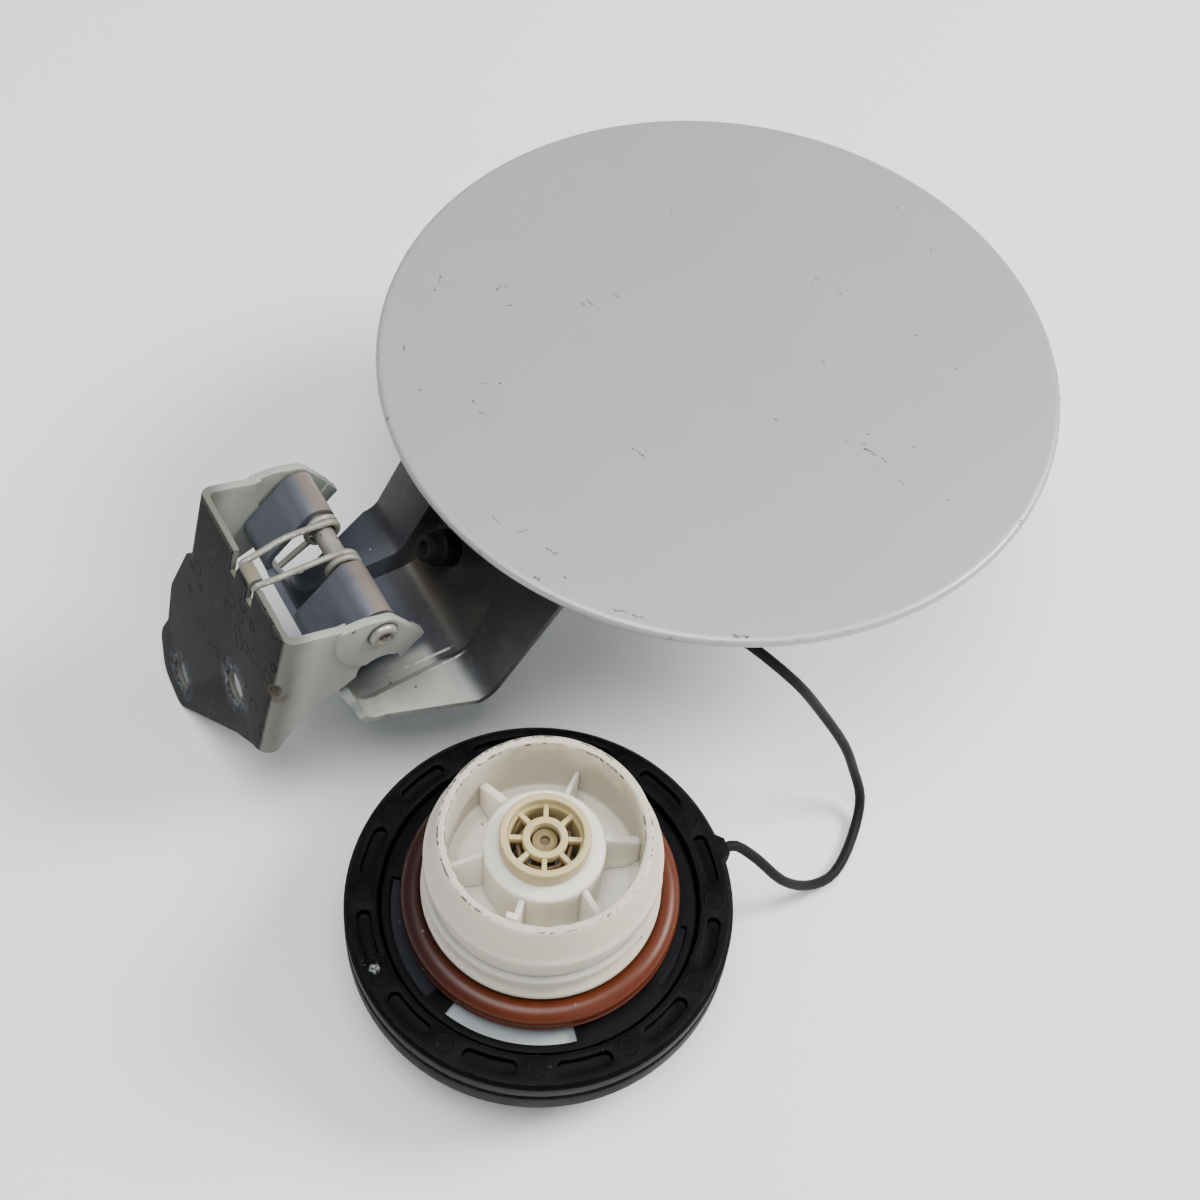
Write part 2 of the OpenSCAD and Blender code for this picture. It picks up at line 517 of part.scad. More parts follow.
// Ratchet wheel with saw teeth, turned through the pawls
module torque_disc() color([0.7, 0.72, 0.72]) at_cap() {
    teeth = 30;
    tip = plate_r - 1.9;
    top = ratchet_top - ratchet_t - 0.4;
    translate([0, 0, top - 1.6]) linear_extrude(1.6) difference() {
        polygon([for (k = [0 : teeth - 1]) for (s = [0, 1])
            let (a = 360 * (k + s * 0.96) / teeth) (tip - 0.9 * (1 - s)) * [cos(a), sin(a)]]);
        circle(r = seat_r + 0.1);
    }
}

module threaded_neck() color([0.88, 0.88, 0.85]) at_cap() {
    root_r = seat_r - thread_step;
    rim_r = root_r - neck_taper;
    low = ratchet_top - ratchet_t - 0.4 - 1.6;
    difference() {
        rotate_extrude() polygon([[root_r - neck_wall, low - 1], [seat_r + 1, low - 1], [seat_r + 1, low - 0.1],
            [seat_r, low - 0.1], [seat_r, neck_flange_bot], [seal_r - 1, neck_flange_bot],
            [seal_r - 1, 0], [seat_r, 0], [seat_r, seal_h - 0.5], [seat_r + 0.9, seal_h + 0.5],
            [seat_r + 0.9, seal_h + 2], [root_r, seal_h + 3.4], [root_r - 0.2, neck_h - 10],
            [rim_r + 0.2, neck_h - 0.6], [rim_r - 0.4, neck_h], [rim_r - neck_wall + 0.3, neck_h],
            [rim_r - neck_wall, neck_h - 0.3], [root_r - neck_wall - 0.6, neck_floor + 3],
            [root_r - neck_wall - 2.6, neck_floor], [0, neck_floor], [0, neck_floor - 2.5],
            [root_r - neck_wall, neck_floor - 2.5]]);
        translate([0, 0, neck_floor - 4]) cylinder(r = stem_r + 2.3, h = 6);
    }
    // Hub with the valve's bore
    difference() {
        translate([0, 0, neck_floor - 0.1]) cylinder(r = hub_r, h = hub_top - neck_floor + 0.1);
        translate([0, 0, seal_seat_z]) cylinder(r = valve_bore_r + run, h = neck_h);
        translate([0, 0, neck_floor - 4]) cylinder(r = stem_r + 2.3, h = 8);
    }
    for (k = [0 : neck_ribs - 1]) rotate([0, 0, 360 * k / neck_ribs + 40])
        translate([hub_r - 0.4, -rib_t / 2, neck_floor - 0.2])
            cube([rim_r - neck_wall - hub_r + 0.9, rib_t, hub_top - 0.2 - neck_floor]);
}

module cap_seal() color([0.55, 0.22, 0.12]) at_cap() rotate_extrude() {
    r = seal_r;
    polygon(concat([[seat_r + 0.05, 0.05], [r - 0.3, 0.05], [r, 0.5], [r - 0.3, 1], [r - 1.2, 1.4]],
        [for (a = [-45 : 15 : 80]) [r - 3.4 + 3.4 * cos(a), seal_h - 3 + 2.8 * sin(a)]],
        [[seat_r + 0.9, seal_h - 0.1], [seat_r + 0.05, seal_h - 0.95]]));
}

module valve_housing() color([0.9, 0.84, 0.68]) at_cap() {
    hub_in = 3.1;
    difference() {
        union() {
            translate([0, 0, seal_seat_z + 1.5]) cylinder(r = valve_bore_r, h = valve_top - seal_seat_z - 3);
            translate([0, 0, hub_top]) cylinder(r = valve_d / 2, h = valve_top - hub_top);
        }
        translate([0, 0, seal_seat_z]) cylinder(r = valve_in_r, h = spoke_z - seal_seat_z);
        ring(valve_in_r, hub_in + 1.4, spoke_z - 1, valve_top + 1);
        translate([0, 0, spoke_z - 1]) cylinder(r = hub_in, h = 8);
    }
    for (k = [0 : valve_spokes - 1]) rotate([0, 0, 360 * (k + 0.5) / valve_spokes])
        translate([hub_in + 1, -0.6, spoke_z]) cube([valve_in_r - hub_in - 0.7, 1.2, valve_top - 0.4 - spoke_z]);
}

module valve_seal() color([0.12, 0.12, 0.12]) at_cap() ring(valve_in_r - 0.2, stem_r + 2.6, seal_seat_z, disc_z);

module pressure_disc() color([0.75, 0.75, 0.72]) at_cap() difference() {
    union() {
        ring(valve_in_r - 0.3, 0, disc_z, disc_z + 1.5);
        translate([0, 0, disc_z + 1.4]) cylinder(r = 3.9, h = 1.2);
    }
    translate([0, 0, disc_z - 1]) cylinder(r = stem_r + run, h = 6);
}

module valve_coil(r, wire, z0, z1, turns) tube([for (i = [0 : 12 * turns])
    let (f = i / (12 * turns), a = 360 * turns * f) [r * cos(a), r * sin(a), z0 + wire / 2 + (z1 - z0 - wire) * f]],
    wire / 2, 6);

module pressure_spring() color([0.7, 0.7, 0.7]) at_cap()
    valve_coil(valve_in_r - 1.5, 0.9, disc_z + 1.55, spoke_z - 0.1, 5);

module vacuum_valve() color([0.85, 0.8, 0.66]) at_cap() difference() {
    union() {
        translate([0, 0, disc_z - 1.4]) cylinder(r = stem_r + 1.9, h = 1.3);
        translate([0, 0, disc_z - 1.4]) cylinder(r = stem_r, h = collar_top - disc_z + 1);
        translate([0, 0, collar_top - 1.8]) cylinder(r = 2.8, h = 1.8);
    }
    translate([0, 0, collar_top - 1.2]) cylinder(r = 1.1, h = 2);
}

module vacuum_spring() color([0.7, 0.7, 0.7]) at_cap()
    valve_coil(stem_r + 0.8, 0.8, disc_z + 2.7, collar_top - 1.9, 4.5);

hinge_bracket();
hinge_pin();
hinge_spring();
hinge_arm();
stop_buffer();
door_skin();
inner_panel();
tether_anchor();
tether_cord();
tether_ring();
grip_cover();
ratchet_plate();
torque_disc();
threaded_neck();
cap_seal();
valve_housing();
valve_seal();
pressure_disc();
pressure_spring();
vacuum_valve();
vacuum_spring();
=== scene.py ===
import math
import bpy
import bmesh
from mathutils import Matrix, Vector


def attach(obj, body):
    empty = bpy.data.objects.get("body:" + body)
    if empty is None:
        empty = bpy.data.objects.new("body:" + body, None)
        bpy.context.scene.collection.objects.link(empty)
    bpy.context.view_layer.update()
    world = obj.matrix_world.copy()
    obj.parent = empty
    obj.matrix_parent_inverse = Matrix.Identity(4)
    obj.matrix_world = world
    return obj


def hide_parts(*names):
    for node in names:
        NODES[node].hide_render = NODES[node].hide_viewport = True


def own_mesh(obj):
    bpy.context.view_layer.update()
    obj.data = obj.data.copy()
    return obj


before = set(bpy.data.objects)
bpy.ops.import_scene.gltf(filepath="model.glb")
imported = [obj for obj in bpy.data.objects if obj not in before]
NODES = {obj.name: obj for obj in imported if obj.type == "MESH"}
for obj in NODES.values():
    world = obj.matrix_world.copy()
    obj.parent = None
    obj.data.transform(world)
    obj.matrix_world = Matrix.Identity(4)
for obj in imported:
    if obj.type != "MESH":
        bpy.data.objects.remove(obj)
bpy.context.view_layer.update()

MM = 0.001

# Places and sizes in millimetres, as in the part's source
PIN = Vector((35.228, 0.0, 38.534))    # middle of the hinge pin
DOOR = Vector((141.228, 0.0, 55.034))  # middle of the door, level with its rim
CAP = Vector((43.5, -87.0, 5.2))       # axis of the cap, level with the top of its ring
LEAN = math.radians(14.2)              # of the bracket's mounting face
BOLT_HOLES = ((-7.7, 13.8), (17.9, -13.8))  # across and up the mounting face
PLATE_TO_PIN = 24.7
PLATE_T = 2.0
TAB_OVER_PIN = 1.2
PIN_HALF = 25.3                        # from the hinge's middle to the seats of the pin's heads
WIRE_D = 1.6
DOOR_R = 85.0
RING_R = 45.0
RING_MARKS = 12
MARKS_R = 40.5
CORD_D = 2.6
FLOOR_Z = -24.15                       # just under the lowest solid

# The photo's camera, and the studio in metres
CAMERA_LENS = 51.0
CAMERA_PLACE = Vector((-45.4, -219.1, 370.2))
CAMERA_RIGHT = Vector((0.862, -0.503, 0.0665))
CAMERA_LOOK = Vector((0.325, 0.448, -0.833))
FLOOR_HALF = 6.0
LIT_SPOT = (0.08, -0.03, 0.0)

# From the cap's shaded side to its lit side
SHADE_X, SHADE_Y = 0.862, -0.503


# ---- Camera, floor and light
def aim_camera():
    data = bpy.data.cameras.new("photo_camera")
    data.lens = CAMERA_LENS
    data.sensor_width = 36.0
    data.clip_start = 0.01
    cam = bpy.data.objects.new("photo_camera", data)
    bpy.context.collection.objects.link(cam)
    right = CAMERA_RIGHT.normalized()
    back = -CAMERA_LOOK.normalized()
    up = back.cross(right).normalized()
    right = up.cross(back).normalized()
    turn = Matrix((right, up, back)).transposed().to_4x4()
    cam.matrix_world = Matrix.Translation(CAMERA_PLACE * MM) @ turn
    bpy.context.scene.camera = cam


def lay_floor():
    mesh = bpy.data.meshes.new("studio_floor")
    bm = bmesh.new()
    bmesh.ops.create_grid(bm, x_segments=1, y_segments=1, size=FLOOR_HALF)
    bmesh.ops.translate(bm, vec=(0, 0, FLOOR_Z * MM), verts=bm.verts)
    bm.to_mesh(mesh)
    bm.free()
    floor = bpy.data.objects.new("studio_floor", mesh)
    bpy.context.collection.objects.link(floor)
    mat = bpy.data.materials.new("pale_floor")
    mat.use_nodes = True
    shader = mat.node_tree.nodes["Principled BSDF"]
    shader.inputs["Base Color"].default_value = (0.93, 0.93, 0.93, 1)
    shader.inputs["Roughness"].default_value = 0.9
    shader.inputs["Specular IOR Level"].default_value = 0.1
    mesh.materials.append(mat)


def soft_light(name, place, target, size, power, colour):
    data = bpy.data.lights.new(name, "AREA")
    data.shape = "DISK"
    data.size = size
    data.energy = power
    data.color = colour
    lamp = bpy.data.objects.new(name, data)
    bpy.context.collection.objects.link(lamp)
    place = Vector(place)
    look = (Vector(target) - place).to_track_quat("-Z", "Y")
    lamp.matrix_world = Matrix.Translation(place) @ look.to_matrix().to_4x4()


def light_studio():
    world = bpy.data.worlds.new("studio")
    bpy.context.scene.world = world
    world.use_nodes = True
    sky = world.node_tree.nodes["Background"]
    sky.inputs["Color"].default_value = (0.86, 0.93, 1.0, 1)
    sky.inputs["Strength"].default_value = 0.3
    soft_light("key_light", (1.0, -0.35, 0.95), LIT_SPOT, 0.55, 24.0, (1.0, 0.95, 0.88))
    soft_light("top_light", (-0.1, -0.15, 1.5), LIT_SPOT, 1.0, 24.0, (1.0, 1.0, 1.0))
    soft_light("front_light", (0.2, -1.2, 0.7), (0.05, -0.05, 0.0), 0.9, 2.5, (0.94, 0.97, 1.0))


# ---- Nodes and node groups that the finishes share
def feed(tree, sock, value):
    """Links a socket to another one, or sets its constant."""
    if isinstance(value, bpy.types.NodeSocket):
        tree.links.new(value, sock)
    else:
        sock.default_value = value


def math_node(tree, kind, a, b=None, clamp=False):
    node = tree.nodes.new("ShaderNodeMath")
    node.operation = kind
    node.use_clamp = clamp
    feed(tree, node.inputs[0], a)
    if b is not None:
        feed(tree, node.inputs[1], b)
    return node.outputs[0]


def vector_node(tree, kind, a, b=None):
    node = tree.nodes.new("ShaderNodeVectorMath")
    node.operation = kind
    feed(tree, node.inputs[0], a)
    if b is not None:
        feed(tree, node.inputs[1], b)
    return node.outputs["Value" if kind in ("DISTANCE", "LENGTH") else "Vector"]


def split_node(tree, vector):
    node = tree.nodes.new("ShaderNodeSeparateXYZ")
    tree.links.new(vector, node.inputs[0])
    return node.outputs


def range_node(tree, value, low, high, to_low=0.0, to_high=1.0):
    node = tree.nodes.new("ShaderNodeMapRange")
    node.interpolation_type = "SMOOTHSTEP"
    for sock, v in zip(node.inputs, (value, low, high, to_low, to_high)):
        feed(tree, sock, v)
    return node.outputs[0]


def noise_node(tree, vector, scale, detail=3.0, rough=0.5):
    node = tree.nodes.new("ShaderNodeTexNoise")
    node.inputs["Detail"].default_value = detail
    node.inputs["Roughness"].default_value = rough
    feed(tree, node.inputs["Scale"], scale)
    tree.links.new(vector, node.inputs["Vector"])
    return node.outputs["Fac"]


def cell_node(tree, vector, scale):
    node = tree.nodes.new("ShaderNodeTexVoronoi")
    feed(tree, node.inputs["Scale"], scale)
    tree.links.new(vector, node.inputs["Vector"])
    return node.outputs["Distance"], node.outputs["Color"]


def object_coord(tree):
    return tree.nodes.new("ShaderNodeTexCoord").outputs["Object"]


def new_group(name, out, *ins):
    """A node group with one float output. The inputs are named, with their kind and default."""
    group = bpy.data.node_groups.new(name, "ShaderNodeTree")
    for label, kind, value in ins:
        sock = group.interface.new_socket(label, in_out="INPUT", socket_type=kind)
        if value is not None:
            sock.default_value = value
    group.interface.new_socket(out, in_out="OUTPUT", socket_type="NodeSocketFloat")
    given = group.nodes.new("NodeGroupInput").outputs
    result = group.nodes.new("NodeGroupOutput").inputs[out]
    return group, given, result, object_coord(group)


def make_scratch_group():
    """A short mark at a place: a thin streak turned about Z and broken up by noise."""
    g, given, mask, coord = new_group("short_scratch", "Mask",
        ("Place", "NodeSocketVector", None), ("Turn", "NodeSocketFloat", 0.0),
        ("Length", "NodeSocketFloat", 0.004), ("Width", "NodeSocketFloat", 0.0003))
    rot = g.nodes.new("ShaderNodeVectorRotate")
    rot.rotation_type = "Z_AXIS"
    g.links.new(vector_node(g, "SUBTRACT", coord, given["Place"]), rot.inputs["Vector"])
    g.links.new(given["Turn"], rot.inputs["Angle"])
    x, y, _ = split_node(g, rot.outputs[0])
    wobble = math_node(g, "SUBTRACT", noise_node(g, coord, 900.0, 2.0), 0.5)
    wobble = math_node(g, "MULTIPLY", wobble, 1.2 * MM)
    along = math_node(g, "DIVIDE", math_node(g, "ABSOLUTE", x), given["Length"])
    across = math_node(g, "ABSOLUTE", math_node(g, "ADD", y, wobble))
    across = math_node(g, "DIVIDE", across, given["Width"])
    ends = range_node(g, along, 0.35, 0.5, 1.0, 0.0)
    sides = range_node(g, across, 0.2, 0.6, 1.0, 0.0)
    gaps = range_node(g, noise_node(g, coord, 2600.0, 1.0), 0.4, 0.52)
    g.links.new(math_node(g, "MULTIPLY", math_node(g, "MULTIPLY", ends, sides), gaps), mask)
    return g


def make_speck_group():
    """Small separate specks, one in the middle of each of some randomly chosen cells."""
    g, given, mask, coord = new_group("specks", "Mask", ("Scale", "NodeSocketFloat", 300.0),
        ("Size", "NodeSocketFloat", 0.2), ("Cover", "NodeSocketFloat", 0.55))
    distance, colour = cell_node(g, coord, given["Scale"])
    dot = math_node(g, "LESS_THAN", distance, given["Size"])
    chosen = math_node(g, "GREATER_THAN", split_node(g, colour)[0], given["Cover"])
    g.links.new(math_node(g, "MULTIPLY", dot, chosen), mask)
    return g


def make_patch_group():
    """Soft uneven patches, such as dust or handling marks."""
    g, given, mask, coord = new_group("soft_patches", "Mask", ("Scale", "NodeSocketFloat", 40.0),
        ("Low", "NodeSocketFloat", 0.45), ("High", "NodeSocketFloat", 0.7))
    cloud = noise_node(g, coord, given["Scale"], 4.0)
    g.links.new(range_node(g, cloud, given["Low"], given["High"]), mask)
    return g


def make_grain_group():
    """Fine relief of moulded plastic, or orange peel in paint."""
    g, given, height, coord = new_group("fine_grain", "Height", ("Scale", "NodeSocketFloat", 1500.0))
    g.links.new(noise_node(g, coord, given["Scale"], 2.0), height)
    return g


def make_edge_group():
    """Worn edges: the marked band of the bevelled edges, broken up by noise."""
    g, given, mask, coord = new_group("worn_edge", "Mask",
        ("Scale", "NodeSocketFloat", 300.0), ("Wear", "NodeSocketFloat", 0.5))
    band = g.nodes.new("ShaderNodeAttribute")
    band.attribute_name = "edge"
    cloud = noise_node(g, coord, given["Scale"], 3.0, 0.6)
    low = math_node(g, "SUBTRACT", 0.75, math_node(g, "MULTIPLY", given["Wear"], 0.5))
    worn = range_node(g, cloud, low, math_node(g, "ADD", low, 0.08))
    g.links.new(math_node(g, "MULTIPLY", band.outputs["Fac"], worn), mask)
    return g


GROUPS = {}


class Finish:
    """One material: a base finish with layers of colour, roughness and relief over it."""

    def __init__(self, name, colour, rough, metallic=0.0, coat=0.0, specular=0.5):
        self.mat = bpy.data.materials.new(name)
        self.mat.use_nodes = True
        self.tree = self.mat.node_tree
        self.inputs = self.tree.nodes["Principled BSDF"].inputs
        self.colour, self.rough, self.metal, self.height = (*colour, 1), rough, metallic, None
        self.inputs["Base Color"].default_value = self.colour
        self.inputs["Roughness"].default_value = rough
        self.inputs["Metallic"].default_value = metallic
        self.inputs["Specular IOR Level"].default_value = specular
        if coat:
            self.inputs["Coat Weight"].default_value = coat
            self.inputs["Coat Roughness"].default_value = 0.12
        self.coord = object_coord(self.tree)
        self.xyz = split_node(self.tree, self.coord)

    # Sums and products of masks
    def times(self, first, *others):
        for other in others:
            first = math_node(self.tree, "MULTIPLY", first, other)
        return first

    def plus(self, a, b):
        return math_node(self.tree, "ADD", a, b, True)

    def ramp(self, value, low, high, to_low=0.0, to_high=1.0):
        return range_node(self.tree, value, low, high, to_low, to_high)

    # Masks by place, in millimetres
    def axis(self, which):
        return self.xyz["XYZ".index(which)]

    def along(self, which, low, high):
        """0 before one place on an axis and 1 beyond another."""
        return self.ramp(self.axis(which), low * MM, high * MM)

    def near(self, place, low, high):
        """1 close to a place, 0 beyond the high distance."""
        distance = vector_node(self.tree, "DISTANCE", self.coord, Vector(place) * MM)
        return self.ramp(distance, low * MM, high * MM, 1.0, 0.0)

    def slant(self, x_share, z_share):
        """Distance in metres along a slanting direction, from the origin."""
        x = self.times(self.axis("X"), x_share)
        return math_node(self.tree, "ADD", x, self.times(self.axis("Z"), z_share))

    def off(self, value, place):
        """Distance of a value from a place, in metres."""
        return math_node(self.tree, "ABSOLUTE", math_node(self.tree, "SUBTRACT", value, place * MM))

    def leftward(self, low, high):
        """1 on the cap's shaded side, by the distance from its middle."""
        x, y = self.times(self.axis("X"), SHADE_X), self.times(self.axis("Y"), SHADE_Y)
        across = math_node(self.tree, "ADD", x, y)
        middle = CAP.x * SHADE_X + CAP.y * SHADE_Y
        return self.ramp(across, (middle - high) * MM, (middle - low) * MM, 1.0, 0.0)

    def cap_radius(self):
        """Distance from the cap's axis in metres."""
        from_cap = vector_node(self.tree, "SUBTRACT", self.coord, CAP * MM)
        return vector_node(self.tree, "LENGTH", vector_node(self.tree, "MULTIPLY", from_cap, (1, 1, 0)))

    # Masks by pattern
    def noise(self, scale, detail=3.0, rough=0.5):
        return noise_node(self.tree, self.coord, scale, detail, rough)

    def broken(self, scale, detail, low, high, rough=0.5):
        """Noise cut between two levels."""
        return self.ramp(self.noise(scale, detail, rough), low, high)

    def group(self, name, **values):
        node = self.tree.nodes.new("ShaderNodeGroup")
        node.node_tree = GROUPS[name]
        for label, value in values.items():
            node.inputs[label].default_value = value
        return node.outputs[0]

    def patches(self, scale, low, high):
        return self.group("soft_patches", Scale=scale, Low=low, High=high)

    def specks(self, scale, size, cover):
        return self.group("specks", Scale=scale, Size=size, Cover=cover)

    def worn_edge(self, scale, wear):
        return self.group("worn_edge", Scale=scale, Wear=wear)

    # Layers
    def _mix(self, kind, first, mask, current, new, sock):
        """Mixes a new value over the current one, and gives the result to the shader."""
        node = self.tree.nodes.new("ShaderNodeMix")
        node.data_type = kind
        self.tree.links.new(mask, node.inputs[0])
        feed(self.tree, node.inputs[first], current)
        node.inputs[first + 1].default_value = new
        result = node.outputs[0 if kind == "FLOAT" else 2]
        self.tree.links.new(result, self.inputs[sock])
        return result

    def tint(self, mask, colour, amount=1.0):
        if amount != 1.0:
            mask = self.times(mask, amount)
        self.colour = self._mix("RGBA", 6, mask, self.colour, (*colour, 1), "Base Color")
        return self

    def roughen(self, mask, value):
        self.rough = self._mix("FLOAT", 2, mask, self.rough, value, "Roughness")
        return self

    def metallise(self, mask, value):
        self.metal = self._mix("FLOAT", 2, mask, self.metal, value, "Metallic")
        return self

    def relief(self, height, distance, strength=1.0):
        bump = self.tree.nodes.new("ShaderNodeBump")
        bump.inputs["Distance"].default_value = distance * MM
        bump.inputs["Strength"].default_value = strength
        self.tree.links.new(height, bump.inputs["Height"])
        if self.height:
            self.tree.links.new(self.height, bump.inputs["Normal"])
        self.height = bump.outputs[0]
        self.tree.links.new(self.height, self.inputs["Normal"])
        return self

    def grain(self, scale, distance, strength):
        return self.relief(self.group("fine_grain", Scale=scale), distance, strength)

    def translucent(self, weight, radius, scale):
        self.inputs["Subsurface Weight"].default_value = weight
        self.inputs["Subsurface Radius"].default_value = radius
        self.inputs["Subsurface Scale"].default_value = scale


# ---- The finishes
# Scratches and chips of the door: x, y, turn in radians, length and width
DOOR_MARKS = (
    (83.7, 16.9, 0.73, 2.5, 0.5), (79.0, 13.1, 1.55, 2, 0.55), (79.1, 9.4, 1.08, 1.8, 0.45),
    (87.2, 15.2, 0.49, 0.8, 0.6), (106.1, -18.8, 1.24, 5.5, 0.55), (117.8, 28.4, 1.4, 2.2, 0.5),
    (119.6, 27.9, 1.33, 2.8, 0.6), (126.9, 26.6, 1.16, 2.9, 0.4), (101.5, 42.7, -0.41, 2.6, 0.4),
    (103.8, 42.8, -0.53, 1.9, 0.4), (101.6, 36.3, 0.71, 1.6, 0.5), (87.6, 49.9, 1.62, 0.8, 0.7),
    (90.2, 52.4, -0.93, 4.7, 0.35), (69.7, 22.4, 1.24, 0.8, 0.7), (58.9, 18.6, -0.59, 1.7, 0.45),
    (72.0, 36.2, 1.89, 2.2, 0.4), (155.6, -43.8, 1.15, 4.3, 0.75), (158.3, -39.3, 0.46, 1.8, 0.45),
    (152.0, -38.3, 0.9, 1.8, 0.5), (155.4, -41.0, 0.46, 1.8, 0.4), (157.2, -47.3, 1.45, 2, 0.4),
    (178.3, 1.7, 0.45, 0.9, 0.5), (174.0, 8.1, -0.17, 0.9, 0.5), (175.9, 9.1, 0.38, 1.4, 0.4),
    (187.7, -18.5, 1.04, 0.9, 0.6), (190.2, -32.0, 1.18, 0.8, 0.7), (161.4, -15.4, 0.78, 0.8, 0.6),
    (140.8, -25.3, 0.83, 0.9, 0.5), (67.3, -19.7, 1.43, 3.3, 0.4), (74.4, -33.3, 1.05, 4, 0.6),
    (70.9, -25.4, 0.21, 3.8, 0.35), (68.0, -38.0, 1.06, 1.9, 0.9), (73.4, -40.8, 0.99, 1.3, 0.6),
    (80.1, -54.3, 0.69, 4.6, 0.5), (82.8, -57.4, 0.78, 3.1, 0.5), (157.2, -54.6, 1.44, 2, 0.5),
    (164.0, -63.9, 0.82, 1.2, 0.6), (100.2, -72.5, 0.65, 4.5, 0.8), (213.3, -44.2, -1.02, 3.9, 0.8),
    (209.0, -51.0, -0.9, 2, 0.6), (176.0, -76.6, -0.4, 1.6, 0.6),
)


def silver_door_paint():
    f = Finish("silver_door_paint", (0.40, 0.40, 0.415), rough=0.45, metallic=0.3, coat=0.25)
    f.tint(f.patches(9.0, 0.3, 0.8), (0.43, 0.425, 0.42), 0.5)
    f.tint(f.patches(60.0, 0.4, 0.8), (0.37, 0.375, 0.39), 0.3)
    worn = None
    for x, y, turn, length, width in DOOR_MARKS:
        mask = f.group("short_scratch", Place=Vector((x, y, 0)) * MM, Turn=turn,
            Length=length * MM, Width=width * MM)
        worn = f.plus(worn, mask) if worn else mask
    f.tint(worn, (0.05, 0.047, 0.045), 0.95).roughen(worn, 0.7)
    f.tint(f.specks(90.0, 0.035, 0.8), (0.18, 0.17, 0.16), 0.8)
    edge = f.worn_edge(160.0, 0.25)
    f.tint(edge, (0.22, 0.2, 0.19), 0.8).roughen(edge, 0.7)
    f.grain(700.0, 0.006, 0.4)
    return f.mat


def panel_paint():
    f = Finish("inner_panel_paint", (0.36, 0.37, 0.385), rough=0.5, metallic=0.1)
    f.tint(f.patches(35.0, 0.45, 0.7), (0.27, 0.275, 0.28), 0.5)
    f.tint(f.specks(200.0, 0.1, 0.75), (0.18, 0.16, 0.14), 0.6)
    f.grain(600.0, 0.02, 0.5)
    return f.mat


def arm_paint():
    f = Finish("blue_grey_arm_paint", (0.10, 0.108, 0.135), rough=0.4, metallic=0.2)
    # Painted shade down in the gooseneck
    f.tint(f.times(f.along("Z", 24, 14), f.along("X", 25.5, 30)), (0.036, 0.04, 0.055), 0.9)
    # Lighter, dustier paint towards the near margin, partly dust and partly painted light; painted light
    # along the channel's near side, over the shade there
    near_side = f.along("Y", -22.5, -26.5)
    f.tint(near_side, (0.205, 0.222, 0.21), 0.9).roughen(near_side, 0.5)
    channel = f.times(f.along("Y", -13.5, -17.5), f.along("X", 57.5, 48), f.along("Z", 18, 15))
    f.tint(channel, (0.46, 0.47, 0.42), 0.9)
    # Painted shade on the rising wall, with brown dirt along its foot
    rise = f.slant(0.857, -0.515)
    f.tint(f.ramp(rise, 38.5 * MM, 41.2 * MM), (0.02, 0.02, 0.0215), 0.95)
    foot = f.times(f.ramp(rise, 43.5 * MM, 45.8 * MM), f.along("Z", 26, 16), f.along("Y", -22.5, -19.5))
    f.tint(f.times(foot, f.broken(60.0, 3.0, 0.3, 0.55)), (0.075, 0.064, 0.046), 0.8)
    # Painted highlights along the two creases of the near step, broken up by noise
    for y, low_z in ((-18.9, 0.0), (-24.7, 10.8)):
        line = f.ramp(f.off(f.axis("Y"), y), 0.2 * MM, 0.45 * MM, 1.0, 0.0)
        line = f.times(line, f.along("X", 57.5, 54), f.broken(330.0, 4.0, 0.42, 0.52, 0.7),
            f.along("X", 34, 38), f.along("Z", low_z, low_z + 0.6), f.along("Z", 15.5, 14.5))
        f.tint(line, (0.75, 0.75, 0.66), 0.8)
    # Painted warm reflection on top of the barrels, and a painted cooler sheen beside it
    top = f.times(f.along("Z", 37.5, 42.5), f.along("X", 33.5, 37), f.along("X", 46, 43))
    f.tint(top, (0.22, 0.175, 0.125), 0.75)
    f.tint(f.times(f.along("Z", 38.5, 40.5), f.along("X", 33.5, 31)), (0.17, 0.18, 0.225), 0.35)
    patch = f.patches(45.0, 0.4, 0.85)
    f.tint(patch, (0.13, 0.14, 0.16), 0.35).roughen(patch, 0.55)
    f.tint(f.patches(150.0, 0.5, 0.9), (0.04, 0.04, 0.045), 0.5)
    f.tint(f.patches(420.0, 0.55, 0.8), (0.2, 0.2, 0.2), 0.15)
    f.tint(f.specks(260.0, 0.12, 0.82), (0.03, 0.025, 0.02), 0.75)
    f.tint(f.specks(180.0, 0.05, 0.8), (0.5, 0.5, 0.48), 0.6)
    f.tint(f.worn_edge(260.0, 0.75), (0.42, 0.42, 0.4), 0.75)
    f.relief(f.noise(260.0, 4.0), 0.05, 0.35)
    f.grain(900.0, 0.01, 0.4)
    return f.mat


